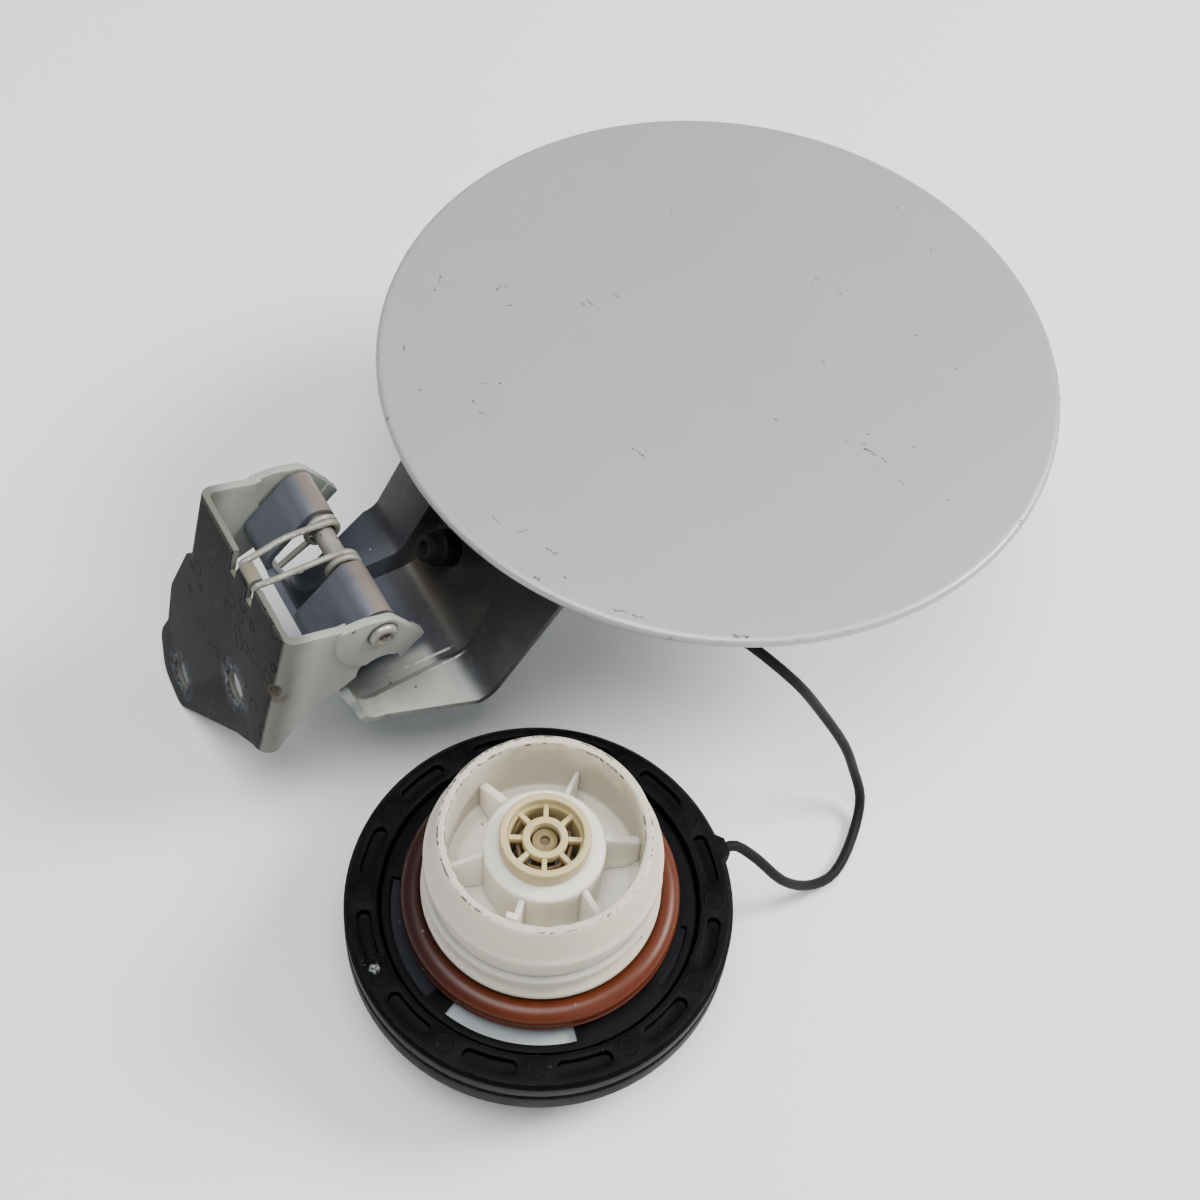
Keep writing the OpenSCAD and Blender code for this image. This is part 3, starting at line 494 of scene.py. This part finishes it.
def bracket_paint():
    f = Finish("grey_bracket_paint", (0.3, 0.32, 0.29), rough=0.5, metallic=0.05, specular=0.25)
    f.tint(f.patches(55.0, 0.35, 0.8), (0.36, 0.38, 0.345), 0.6)
    # The mounting face is near black, partly dark dirt and partly painted shade, with a ragged darker brown
    # band over the folds next to it
    lean = f.slant(math.cos(LEAN), -math.sin(LEAN))
    face = f.ramp(lean, 0.3 * MM, 0.9 * MM, 1.0, 0.0)
    ragged = f.plus(lean, f.times(f.noise(120.0), 3 * MM))
    f.tint(f.ramp(ragged, 3.5 * MM, 10.5 * MM, 1.0, 0.0), (0.055, 0.05, 0.036), 0.7)
    f.tint(face, (0.0095, 0.0095, 0.0102), 0.97).roughen(face, 0.8)
    # Rings left by drops, in some randomly chosen cells of the face's upper part
    distance, colour = cell_node(f.tree, f.coord, 210.0)
    ring = f.times(f.ramp(distance, 0.28, 0.36), f.ramp(distance, 0.4, 0.5, 1.0, 0.0),
        f.times(f.broken(70.0, 2.0, 0.42, 0.46), f.ramp(split_node(f.tree, colour)[0], 0.58, 0.6)),
        f.along("Z", 6, 16), face)
    f.tint(ring, (0.0, 0.0, 0.0))
    f.relief(f.times(ring, 0.5), 0.2, 0.9)
    # Rubbed metal round the bolt holes
    for y, up in BOLT_HOLES:
        hole = (up * math.sin(LEAN), y, up * math.cos(LEAN))
        rubbed = f.times(f.near(hole, 6.2, 8.6), f.broken(500.0, 4.0, 0.42, 0.6, 0.7), face)
        f.tint(rubbed, (0.058, 0.065, 0.078), 0.8)
        bright = f.times(f.near(hole, 5.0, 5.9), f.broken(700.0, 3.0, 0.48, 0.62), face)
        f.tint(bright, (0.2, 0.22, 0.24), 0.45)
    f.tint(f.times(f.patches(240.0, 0.6, 0.72), face), (0.028, 0.028, 0.03), 0.5)
    f.tint(f.specks(170.0, 0.1, 0.72), (0.045, 0.04, 0.035), 0.75)
    # Painted shadow by the stiffening dent, dark brown and broken up, and a tan spot on the dent
    dent = f.times(f.near((8.3, -23.2, 29.6), 1.2, 4.4), f.broken(260.0, 3.0, 0.3, 0.55))
    f.tint(dent, (0.035, 0.028, 0.017), 0.75)
    f.tint(f.near((9.9, -24.3, 28.2), 0.3, 2.4), (0.085, 0.07, 0.042), 0.6)
    # Painted tan highlight on the bend of the rolled tab
    tab = f.times(f.near((13.0, -1.6, 48.0), 2.2, 3.6), f.ramp(lean, 0.4 * MM, 1 * MM))
    f.tint(tab, (0.19, 0.17, 0.12), 0.85)
    # Dirt round the pin's heads
    for side in (-1, 1):
        under_head = f.near((PIN.x, side * PIN_HALF, PIN.z), 3.5, 4.3)
        f.tint(f.times(under_head, f.broken(300.0, 2.0, 0.3, 0.5)), (0.02, 0.018, 0.016), 0.75)
    f.tint(f.worn_edge(200.0, 0.9), (0.5, 0.46, 0.37), 0.85)
    f.tint(f.worn_edge(330.0, 0.3), (0.12, 0.09, 0.06), 0.8)
    f.grain(500.0, 0.03, 0.45)
    return f.mat


def bare_steel():
    f = Finish("stained_steel", (0.35, 0.345, 0.315), rough=0.42, metallic=0.7)
    stain = f.patches(160.0, 0.42, 0.62)
    f.tint(stain, (0.27, 0.235, 0.19), 0.5).roughen(stain, 0.6).metallise(stain, 0.5)
    f.tint(f.specks(700.0, 0.25, 0.7), (0.1, 0.07, 0.05), 0.7)
    # Painted shade in the bores of the pin's heads
    for side in (-1, 1):
        bore = f.near((PIN.x, side * (PIN_HALF + 1.3), PIN.z), 1.0, 2.3)
        f.tint(f.times(bore, f.broken(900.0, 3.0, 0.4, 0.5, 0.6)), (0.006, 0.005, 0.005), 0.95)
    f.grain(1600.0, 0.02, 0.4)
    return f.mat


def wire_steel():
    f = Finish("dull_spring_wire", (0.27, 0.275, 0.245), rough=0.5, metallic=0.35)
    dirt = f.patches(220.0, 0.45, 0.62)
    f.tint(dirt, (0.22, 0.19, 0.15), 0.55).roughen(dirt, 0.7)
    f.tint(f.specks(900.0, 0.3, 0.7), (0.6, 0.59, 0.55), 0.5)
    f.relief(f.noise(700.0, 3.0), 0.03, 0.5)
    return f.mat


def black_plastic(name, colour=(0.0018, 0.0018, 0.0024), rough=0.5, dust=0.4):
    f = Finish(name, colour, rough=rough, specular=0.07)
    haze = f.patches(90.0, 0.4, 0.85)
    f.tint(haze, (0.007, 0.0072, 0.0085), dust).roughen(haze, rough + 0.15)
    f.tint(f.specks(420.0, 0.1, 0.86), (0.08, 0.075, 0.07), 0.4)
    f.tint(f.worn_edge(300.0, 0.6), (0.013, 0.013, 0.015), 0.5)
    f.grain(1400.0, 0.02, 0.4)
    return f


def ring_plastic():
    f = black_plastic("black_ring_plastic")
    # A white scuff and a few spots beside it
    scuff = f.near((CAP.x - 41.0, CAP.y + 2.5, CAP.z), 0.5, 1.5)
    scuff = f.times(scuff, f.broken(1200.0, 4.0, 0.42, 0.6, 0.7))
    f.tint(scuff, (0.5, 0.53, 0.53), 0.85).roughen(scuff, 0.8)
    spots = f.near((CAP.x - 40.6, CAP.y + 4.8, CAP.z), 1.0, 3.4)
    f.tint(f.times(spots, f.broken(1500.0, 3.0, 0.6, 0.66, 0.6)), (0.25, 0.27, 0.3), 0.7)
    return f.mat


def cord_plastic():
    return black_plastic("black_cord_plastic", (0.014, 0.014, 0.015), 0.45, 0.2).mat


def black_rubber():
    f = Finish("black_rubber", (0.007, 0.007, 0.008), rough=0.6, specular=0.2)
    f.tint(f.patches(200.0, 0.4, 0.8), (0.02, 0.02, 0.02), 0.5)
    f.grain(1500.0, 0.04, 0.5)
    return f.mat


def seal_rubber():
    f = Finish("orange_brown_seal", (0.092, 0.0175, 0.0045), rough=0.36, specular=0.3)
    f.tint(f.patches(50.0, 0.35, 0.8), (0.075, 0.013, 0.003), 0.6)
    f.tint(f.patches(120.0, 0.55, 0.75), (0.17, 0.035, 0.01), 0.4)
    # Painted shade on the cap's shaded side
    f.tint(f.leftward(6.0, 31.0), (0.012, 0.005, 0.006), 0.85)
    f.tint(f.specks(330.0, 0.1, 0.9), (0.4, 0.3, 0.24), 0.4)
    f.grain(1100.0, 0.015, 0.35)
    return f.mat


def neck_plastic():
    f = Finish("white_neck_plastic", (0.59, 0.55, 0.455), rough=0.42)
    f.translucent(0.55, (1.0, 0.85, 0.65), 0.006)
    f.tint(f.patches(32.0, 0.42, 0.8), (0.6, 0.565, 0.48), 0.5)
    # Painted shade, slightly pink, on the cap's shaded side
    f.tint(f.leftward(8.0, 27.0), (0.5, 0.46, 0.47), 0.35)
    # Lighter inside: painted light, for the light that comes through the translucent plastic
    radius = math_node(f.tree, "ADD", f.cap_radius(), f.times(f.noise(160.0, 2.0), 0.6 * MM))
    inside_painted_light = f.times(f.ramp(radius, 21.9 * MM, 21.6 * MM), f.along("Z", CAP.z + 11.5, CAP.z + 12))
    f.tint(inside_painted_light, (0.86, 0.82, 0.73), 0.85)
    # Dirt rubbed into the rim in broken lines: radius, width, and the noise that breaks it
    on_rim = f.along("Z", CAP.z + 33.2, CAP.z + 33.7)
    rim_lines = ((23.35, 0.24, 700.0, 0.46), (21.75, 0.2, 800.0, 0.46), (22.7, 0.4, 1300.0, 0.62))
    for r, wide, scale, limit in rim_lines:
        line = f.ramp(f.off(radius, r), wide * 0.5 * MM, wide * 1.3 * MM, 1.0, 0.0)
        line = f.times(line, f.broken(scale, 4.0, limit, limit + 0.07, 0.7),
            f.broken(75.0 + r, 2.0, 0.38, 0.5), on_rim)
        f.tint(line, (0.035, 0.028, 0.025), 0.9)
    f.tint(f.specks(210.0, 0.07, 0.72), (0.12, 0.09, 0.07), 0.85)
    f.grain(800.0, 0.012, 0.3)
    return f.mat


def valve_plastic():
    f = Finish("beige_valve_plastic", (0.55, 0.455, 0.23), rough=0.42)
    f.translucent(0.15, (1.0, 0.8, 0.5), 0.0015)
    f.tint(f.patches(130.0, 0.45, 0.7), (0.62, 0.54, 0.34), 0.5)
    f.tint(f.specks(500.0, 0.12, 0.78), (0.2, 0.13, 0.05), 0.8)
    f.tint(f.worn_edge(500.0, 0.4), (0.35, 0.25, 0.1), 0.6)
    f.grain(1300.0, 0.02, 0.4)
    return f.mat


def brown_wire():
    f = Finish("browned_valve_wire", (0.2, 0.14, 0.075), rough=0.6, metallic=0.1, specular=0.2)
    f.tint(f.patches(260.0, 0.4, 0.7), (0.12, 0.07, 0.035), 0.6)
    return f.mat


def stem_plastic():
    f = Finish("browned_stem_plastic", (0.17, 0.13, 0.055), rough=0.45, specular=0.3)
    # Painted shade in the dimple in the stem's end
    f.tint(f.near(CAP + Vector((0, 0, 28.7)), 0.9, 1.35), (0.02, 0.012, 0.005), 0.9)
    f.tint(f.patches(260.0, 0.45, 0.7), (0.32, 0.25, 0.13), 0.5)
    f.tint(f.specks(700.0, 0.12, 0.8), (0.06, 0.04, 0.02), 0.7)
    return f.mat


def grey_plastic():
    f = Finish("pale_grey_plastic", (0.33, 0.365, 0.375), rough=0.4, specular=0.2)
    f.tint(f.patches(70.0, 0.45, 0.8), (0.3, 0.34, 0.35), 0.5)
    # Painted shade darkens all but the part in the lower window and the valve's disc
    turn = math.radians(229)
    window = CAP + Vector((33 * math.cos(turn), 33 * math.sin(turn), -3))
    open_part = f.plus(f.near(window, 16.5, 19.0), f.near(CAP + Vector((0, 0, 10)), 11.0, 13.0))
    painted_shade = math_node(f.tree, "SUBTRACT", 1.0, open_part)
    f.tint(painted_shade, (0.005, 0.006, 0.01), 0.985).roughen(painted_shade, 0.7)
    f.tint(f.specks(300.0, 0.12, 0.8), (0.12, 0.11, 0.1), 0.6)
    f.grain(1000.0, 0.015, 0.35)
    return f.mat


# ---- Making pieces
SAME = 1e-7       # metres within which two points are one
CAD_SAME = 2e-6   # the same in a solid's mesh
CORNER_STEPS = 3


def finish_piece(bm, name, body, stands_for, mat, sharp, recalc=True):
    """Makes the piece's object, on its body, with its finish and the nodes that it stands for."""
    bmesh.ops.remove_doubles(bm, verts=bm.verts, dist=SAME)
    if recalc:
        bmesh.ops.recalc_face_normals(bm, faces=bm.faces)
    mesh = bpy.data.meshes.new(name)
    bm.to_mesh(mesh)
    bm.free()
    for p in mesh.polygons:
        p.use_smooth = True
    mesh.set_sharp_from_angle(angle=math.radians(sharp))
    obj = bpy.data.objects.new(name, mesh)
    bpy.context.collection.objects.link(obj)
    mesh.materials.append(mat)
    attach(obj, body)
    if stands_for:
        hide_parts(*stands_for)
    return obj


def spin_outline(bm, outline, centre, steps, angle=360.0, start=0.0, climb=0.0):
    """Spins a closed outline of (radius, height) in millimetres about an upright axis."""
    turn = Matrix.Rotation(math.radians(start), 3, "Z")
    verts = [bm.verts.new((Vector(centre) + turn @ Vector((r, 0, z))) * MM) for r, z in outline]
    edges = []
    for a in range(len(verts)):
        b = (a + 1) % len(verts)
        if outline[a][0] or outline[b][0]:
            edges.append(bm.edges.new((verts[a], verts[b])))
    full = angle == 360.0 and climb == 0.0
    made = bmesh.ops.spin(bm, geom=verts + edges, cent=Vector(centre) * MM, axis=(0, 0, 1),
        dvec=(0, 0, climb * MM / steps), angle=math.radians(angle), steps=steps,
        space=Matrix.Identity(4), use_merge=full, use_duplicate=False)
    if full:
        bmesh.ops.remove_doubles(bm, verts=bm.verts, dist=SAME)
    else:
        bm.faces.new(verts)
        bm.faces.new([v for v in made["geom_last"] if isinstance(v, bmesh.types.BMVert)])


def softened(outline, size):
    """Rounds the corners of an outline that aren't on the axis."""
    out = []
    for k, p in enumerate(outline):
        corner = Vector(p)
        u, v = Vector(outline[k - 1]) - corner, Vector(outline[(k + 1) % len(outline)]) - corner
        cut = min(size, u.length * 0.45, v.length * 0.45)
        u.normalize()
        v.normalize()
        if p[0] == 0 or cut < 1e-4 or u.dot(v) < -0.995:
            out.append(p)
            continue
        for s in range(CORNER_STEPS + 1):
            t = s / CORNER_STEPS
            q = (corner + u * cut) * (1 - t) ** 2 + corner * 2 * t * (1 - t) + (corner + v * cut) * t * t
            out.append((q.x, q.y))
    return out


def block(bm, low, high, turn, bevel):
    """A block between two corners in millimetres from the cap's middle, turned about its axis."""
    low, high = Vector(low), Vector(high)
    place = (Matrix.Translation(CAP * MM) @ Matrix.Rotation(math.radians(turn), 4, "Z")
        @ Matrix.Translation((low + high) / 2 * MM) @ Matrix.Diagonal(((high - low) * MM).to_4d()))
    made = bmesh.ops.create_cube(bm, size=1.0, matrix=place)
    edges = {e for v in made["verts"] for e in v.link_edges}
    bmesh.ops.bevel(bm, geom=list(edges), offset=bevel * MM, offset_type="OFFSET", segments=2,
        profile=0.5, affect="EDGES", material=-1)


def dressed(node, name, body, mat, edge, angle=28.0, segments=2, extra=None):
    """A copy of a CAD node with its edges rounded and marked, so that they can show wear."""
    bm = bmesh.new()
    bm.from_mesh(NODES[node].data)
    bmesh.ops.remove_doubles(bm, verts=bm.verts, dist=CAD_SAME)
    bmesh.ops.dissolve_degenerate(bm, dist=CAD_SAME, edges=bm.edges)
    bmesh.ops.dissolve_limit(bm, angle_limit=math.radians(0.8), verts=bm.verts, edges=bm.edges,
        use_dissolve_boundaries=False, delimit=set())
    band = bm.faces.layers.float.new("edge")
    sharp = [e for e in bm.edges if len(e.link_faces) == 2 and e.calc_face_angle() > math.radians(angle)]
    made = bmesh.ops.bevel(bm, geom=sharp, offset=edge * MM, offset_type="OFFSET", segments=segments,
        profile=0.5, affect="EDGES", clamp_overlap=True, loop_slide=True, material=-1)
    for f in made["faces"]:
        f[band] = 1.0
    bmesh.ops.triangulate(bm, faces=[f for f in bm.faces if len(f.verts) > 4])
    if extra:
        extra(bm)
    return finish_piece(bm, name, body, [node], mat, 40.0, False)


def smooth_route(points, steps):
    """A curve through points, with some steps between each two of them."""
    out = []
    n = len(points)
    for k in range(n - 1):
        a, b = Vector(points[max(k - 1, 0)]), Vector(points[k])
        c, d = Vector(points[k + 1]), Vector(points[min(k + 2, n - 1)])
        for s in range(steps):
            t = s / steps
            out.append(0.5 * (2 * b + (c - a) * t + (2 * a - 5 * b + 4 * c - d) * t * t
                + (3 * b - a - 3 * c + d) * t ** 3))
    out.append(Vector(points[-1]))
    return out


def wire(name, points, diameter, body, node, mat):
    """A round wire or cord through points in millimetres, kept as a curve of one open spline."""
    data = bpy.data.curves.new(name, "CURVE")
    data.dimensions = "3D"
    data.bevel_depth = diameter / 2 * MM
    data.bevel_resolution = 5
    data.use_fill_caps = True
    line = data.splines.new("POLY")
    line.points.add(len(points) - 1)
    for p, q in zip(line.points, points):
        p.co = (*(Vector(q) * MM), 1.0)
    line.use_smooth = True
    data.materials.append(mat)
    obj = bpy.data.objects.new(name, data)
    bpy.context.collection.objects.link(obj)
    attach(obj, body)
    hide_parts(node)
    return obj


# ---- Camera and cord first
for maker in (make_scratch_group, make_speck_group, make_patch_group, make_grain_group, make_edge_group):
    made_group = maker()
    GROUPS[made_group.name] = made_group

aim_camera()
lay_floor()
light_studio()

# From the plug under the door to the lug of the ring
CORD_ROUTE = [(101.917, -58.281, 46.5), (101.917, -58.281, 42.6), (102.517, -61.281, 40.8),
    (104.517, -65.281, 41.3), (107.517, -68.681, 40.8), (116, -78, 31), (123, -82, 18), (130, -87, 3),
    (134, -90, -10), (135, -94, -18), (131, -99, -22), (123, -105, -22), (116, -108, -21),
    (108, -108, -17), (101, -106, -10), (96, -101, -2.5), (91.4, -97.2, 2.7), (87.8, -96.4, 2.7)]
cord_line = smooth_route(CORD_ROUTE, 3)
cord = wire("tether_cord_line", cord_line, CORD_D, "door", "tether_cord", cord_plastic())


# ---- The door, the arm and the bracket
def make_door_skin():
    """Crowned outer skin with its rolled rim and the hem folded inwards under it."""
    edge_r = 1.325
    inner = DOOR_R - edge_r
    hem = DOOR_R - 8

    def crown(r):
        return 1.8 * (1 - (r / DOOR_R) ** 2)
    radii = [inner * k / 14 for k in range(14)] + [inner - 3, inner - 1.4, inner - 0.6, inner - 0.15]
    outline = [(r, crown(r)) for r in radii]
    for k in range(1, 15):
        a = math.radians(88 - 176 * k / 15)
        outline.append((inner + edge_r * math.cos(a), -edge_r + edge_r * math.sin(a)))
    outline += [(inner - 0.2, -2.65), (inner - 1, -2.65), (hem + 0.4, -2.62), (hem, -2.4), (hem, -2.1),
        (hem + 0.4, -1.86), (inner - 0.5, -1.86), (inner - 0.5, crown(inner) - 0.82)]
    outline += [(r, crown(r) - 0.8) for r in reversed(radii[:16])]
    bm = bmesh.new()
    spin_outline(bm, outline, DOOR, 200)
    band = bm.verts.layers.float.new("edge")
    for v in bm.verts:
        v[band] = 1.0 if math.hypot(v.co.x - DOOR.x * MM, v.co.y) > (DOOR_R - 0.6) * MM else 0.0
    finish_piece(bm, "door_outer_skin", "door", ["door_skin"], silver_door_paint(), 50)


make_door_skin()
plastic_mat, ring_mat, rubber_mat = black_plastic("black_cap_plastic").mat, ring_plastic(), black_rubber()
grey_mat, coil_mat = grey_plastic(), brown_wire()
dressed("inner_panel", "inner_panel_pressing", "door", panel_paint(), 0.25)
dressed("hinge_arm", "gooseneck_arm", "door", arm_paint(), 0.7, 16.0, 3)
dressed("stop_buffer", "rubber_buffer", "door", rubber_mat, 0.4)
dressed("tether_anchor", "cord_plug", "door", plastic_mat, 0.3)
dressed("hinge_bracket", "folded_bracket", "bracket", bracket_paint(), 0.4)


# ---- Hinge pin and spring
def make_pin():
    """Tubular pin with heads rolled outwards over the ears."""
    head = [(0, -0.2), (0.9, -0.3), (1.2, 0.6), (1.5, 1.5), (2.2, 1.8), (3.0, 1.5), (3.4, 0.9), (3.45, 0.3),
        (3.2, 0.05), (2.5, 0)]
    outline = [(r, PIN_HALF + z) for r, z in head]
    outline += [(r, -z) for r, z in reversed(outline)]
    bm = bmesh.new()
    spin_outline(bm, outline, (0, 0, 0), 40)
    lay = Matrix.Translation(PIN * MM) @ Matrix.Rotation(math.radians(90), 4, "X")
    bmesh.ops.transform(bm, matrix=lay, verts=bm.verts)
    finish_piece(bm, "rolled_hinge_pin", "bracket", ["hinge_pin"], bare_steel(), 50)


def under_tab(x, y, z):
    """Point of the pin's frame from its place off the plate's inner face and off the tab's underside."""
    u, w = x - PLATE_TO_PIN + PLATE_T, z + TAB_OVER_PIN
    return (u * math.cos(LEAN) + w * math.sin(LEAN), y, w * math.cos(LEAN) - u * math.sin(LEAN))


def make_hinge_spring():
    """Double torsion spring: a leg, a coil, the bow under the bracket's tab, a coil and a leg."""
    r, turns = 3.8, 1.5
    far_in, near_in, length = 8.7, -5.7, WIRE_D * 1.06 * turns

    def coil(start, end):
        n = int(24 * turns)
        turned = [math.radians(-90 + 360 * turns * k / n) for k in range(n + 1)]
        return [(r * math.cos(a), start + (end - start) * k / n, r * math.sin(a))
            for k, a in enumerate(turned)]
    near, far = coil(near_in, near_in + length), coil(far_in, far_in - length)
    leg = [(-11, 0, -9.3), (-7.04, 0, -6.79), (-2.97, 0, -4.37)]
    gap, tab_far, tab_near = 0.95, 2.15, -5.35
    bow = [(4, tab_near - 0.2, 2), (1.6, tab_near - 0.1, 1.5), (0.1, tab_near, 0.9),
        (-0.25, tab_near + 0.1, 0), (0.5, tab_near + 0.5, -gap), (gap, tab_near + 1.8, -gap),
        (gap, (tab_far + tab_near) / 2, -gap), (gap, tab_far - 1.8, -gap), (0.5, tab_far - 0.5, -gap),
        (-0.25, tab_far - 0.1, 0), (0.1, tab_far, 0.9), (1.6, tab_far + 0.1, 1.5), (4, tab_far + 0.6, 2)]
    route = [(x, near_in, z) for x, _, z in leg] + near
    route += [(-3, near_in + length - 0.2, r + 0.5), (-10, near_in + length - 1, r + 1.8)]
    route += [under_tab(*p) for p in bow]
    route += [(-10, far_in - length - 0.8, r + 1.8), (-3, far_in - length - 0.1, r + 0.5)]
    route += far[::-1] + [(x, far_in, z) for x, _, z in reversed(leg)]
    line = [Vector(p) + PIN for p in smooth_route(route, 3)]
    wire("torsion_spring_wire", line, WIRE_D, "bracket", "hinge_spring", wire_steel())


make_pin()
make_hinge_spring()


# ---- The cap
def make_ring_marks():
    """Round ejector marks between the slots of the tether ring."""
    rim = [(1.9, 0.02), (2.05, 0.1), (2.3, 0.1), (2.45, 0.02), (2.3, -0.3), (2.05, -0.3)]
    dot = [(0, 0.1), (0.35, 0.08), (0.45, -0.2), (0, -0.2)]
    bm = bmesh.new()
    for k in range(RING_MARKS):
        a = math.radians(360 / RING_MARKS * k)
        centre = (CAP.x + MARKS_R * math.cos(a), CAP.y + MARKS_R * math.sin(a), CAP.z)
        spin_outline(bm, rim, centre, 28)
        spin_outline(bm, dot, centre, 12)
    finish_piece(bm, "ring_round_marks", "door", [], ring_mat, 60)


def slim_lug(bm):
    """Draws the lug in round the cord's end."""
    turn = math.radians(-12)
    out, side = Vector((math.cos(turn), math.sin(turn), 0)), Vector((-math.sin(turn), math.cos(turn), 0))
    middle = CAP * MM
    root, half_height = RING_R * MM, 2.5 * MM
    for v in bm.verts:
        p = v.co - middle
        u, w = p.dot(out), p.dot(side)
        if math.hypot(p.x, p.y) > root + 0.15 * MM and abs(w) < 4 * MM and u > 0:
            v.co = middle + out * (root + (u - root) * 0.75) + side * w * 0.6
            v.co.z = middle.z - half_height + (p.z + half_height) * 0.7


def cover_teeth(bm):
    """Thin flange over the saw teeth, which lie under it."""
    spin_outline(bm, [(26.6, -3.3), (34.4, -3.3), (34.5, -3.45), (34.4, -3.6), (26.6, -3.6)], CAP, 120)


def rib(bm, reach, half_thick, heights, turn):
    """Upright rib between two radii of the cap, its top falling outwards."""
    inner, outer = reach
    foot, top_in, top_out = heights
    corners = [(inner, foot), (outer, foot), (outer, top_out), (inner, top_in)]
    rows = [[bm.verts.new(Vector((x, y, z)) * MM) for x, z in corners]
        for y in (-half_thick, half_thick)]
    bm.faces.new(rows[0])
    bm.faces.new(rows[1][::-1])
    for k in range(4):
        j = (k + 1) % 4
        bm.faces.new((rows[0][k], rows[1][k], rows[1][j], rows[0][j]))
    top = rows[0][2:] + rows[1][2:]
    top_edges = [e for e in bm.edges if e.verts[0] in top and e.verts[1] in top]
    place = Matrix.Translation(CAP * MM) @ Matrix.Rotation(math.radians(turn), 4, "Z")
    bmesh.ops.transform(bm, matrix=place, verts=rows[0] + rows[1])
    bmesh.ops.bevel(bm, geom=top_edges, offset=0.25 * MM, offset_type="OFFSET", segments=2, profile=0.5,
        affect="EDGES", clamp_overlap=True, material=-1)


def make_neck():
    """Screw neck with its hub, six ribs, a hooked nub and the thread."""
    wall = [(21.7, 34.3), (23.1, 34.3), (23.5, 33.9), (25.3, 25.6), (26.4, 24.6), (26.4, 20.6), (25.6, 20.0),
        (25.6, 9.6), (27.3, 8.6), (27.3, 7.0), (26.4, 6.0), (26.4, 0.2), (30.8, 0.0), (30.8, -1.1),
        (26.4, -1.1), (26.4, -5.0), (27.2, -5.1), (27.2, -6.0), (22.4, -6.0), (22.4, 9.5), (4.1, 9.5),
        (4.1, 12), (19.5, 12), (21.9, 15), (21.4, 33.9)]
    bm = bmesh.new()
    spin_outline(bm, softened(wall, 0.45), CAP, 160)
    hub = [(13.5, 11.8), (13.5, 27.3), (12.9, 27.9), (10.4, 28.0), (8.75, 27.9), (8.75, 13), (8.75, 11.8)]
    spin_outline(bm, softened(hub, 0.3), CAP, 96)
    for k, half_thick in enumerate((0.5, 0.95, 0.55, 0.7, 0.75, 0.95)):
        rib(bm, (13.2, 22.1), half_thick, (11.9, 27.4, 23.0), 40 + 60 * k)
    block(bm, (17.2, -1.9, 22.0), (18.6, 0.9, 27.9), -140, 0.3)
    tooth = [(25.4, 9.4), (25.4, 12.4), (26.5, 11.7), (26.85, 11.3), (26.85, 10.5), (26.5, 10.1)]
    spin_outline(bm, tooth, CAP, 150, 560.0, -62, 7.8)
    finish_piece(bm, "screw_neck", "closure", ["threaded_neck"], neck_plastic(), 32)


def make_seal():
    """Seal with a round lip over a flat foot."""
    outline = [(26.5, 0.1), (31.4, 0.1), (31.9, 0.4), (32.0, 0.9), (31.6, 1.25), (31.0, 1.35)]
    for k in range(11):
        a = math.radians(-48 + 148 * k / 10)
        outline.append((28.8 + 3.3 * math.cos(a), 3.5 + 2.9 * math.sin(a)))
    outline += [(27.3, 5.9), (26.5, 5.0)]
    bm = bmesh.new()
    spin_outline(bm, outline, CAP, 160)
    finish_piece(bm, "neck_seal", "closure", ["cap_seal"], seal_rubber(), 50)


def make_valve_housing():
    """Tube with a head whose middle is held by eight spokes."""
    bm = bmesh.new()
    shell = [(8.35, 32.9), (9.7, 32.9), (10.0, 32.5), (10.0, 28.3), (8.6, 28.2), (8.6, 15.2), (7.7, 15.2),
        (7.7, 30.2), (8.2, 31.0)]
    spin_outline(bm, softened(shell, 0.3), CAP, 96)
    hub = [(3.35, 31.5), (4.95, 31.5), (5.0, 28.9), (3.2, 28.9)]
    spin_outline(bm, softened(hub, 0.3), CAP, 64)
    for k in range(8):
        block(bm, (4.6, -0.55, 28.9), (8.1, 0.55, 31.0), 14.0 + 45 * k, 0.15)
    finish_piece(bm, "spoked_valve_housing", "closure", ["valve_housing"],
        valve_plastic(), 35)


dressed("tether_ring", "slotted_tether_ring", "door", ring_mat, 0.35, extra=slim_lug)
make_ring_marks()
dressed("grip_cover", "grip_shell", "grip", plastic_mat, 0.6, 28, 3)
dressed("ratchet_plate", "pawl_plate", "grip", plastic_mat, 0.2)
dressed("torque_disc", "toothed_disc", "closure", grey_mat, 0.15, extra=cover_teeth)
make_neck()
make_seal()
make_valve_housing()
dressed("vacuum_valve", "vacuum_valve_stem", "vacuum_valve", stem_plastic(), 0.2)


def make_valve_spring(node, name, body):
    """Coil spring of the cap's valve: a dressed copy of its solid, given a mesh of its own."""
    spring = dressed(node, name, body, coil_mat, 0.05, 80.0)
    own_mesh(spring)


make_valve_spring("pressure_spring", "pressure_valve_coil", "closure")
make_valve_spring("vacuum_spring", "vacuum_valve_coil", "pressure_valve")
# The two pieces deep in the valve keep their solids, with a finish
for node, mat in (("valve_seal", rubber_mat), ("pressure_disc", grey_mat)):
    NODES[node].data.materials.clear()
    NODES[node].data.materials.append(mat)
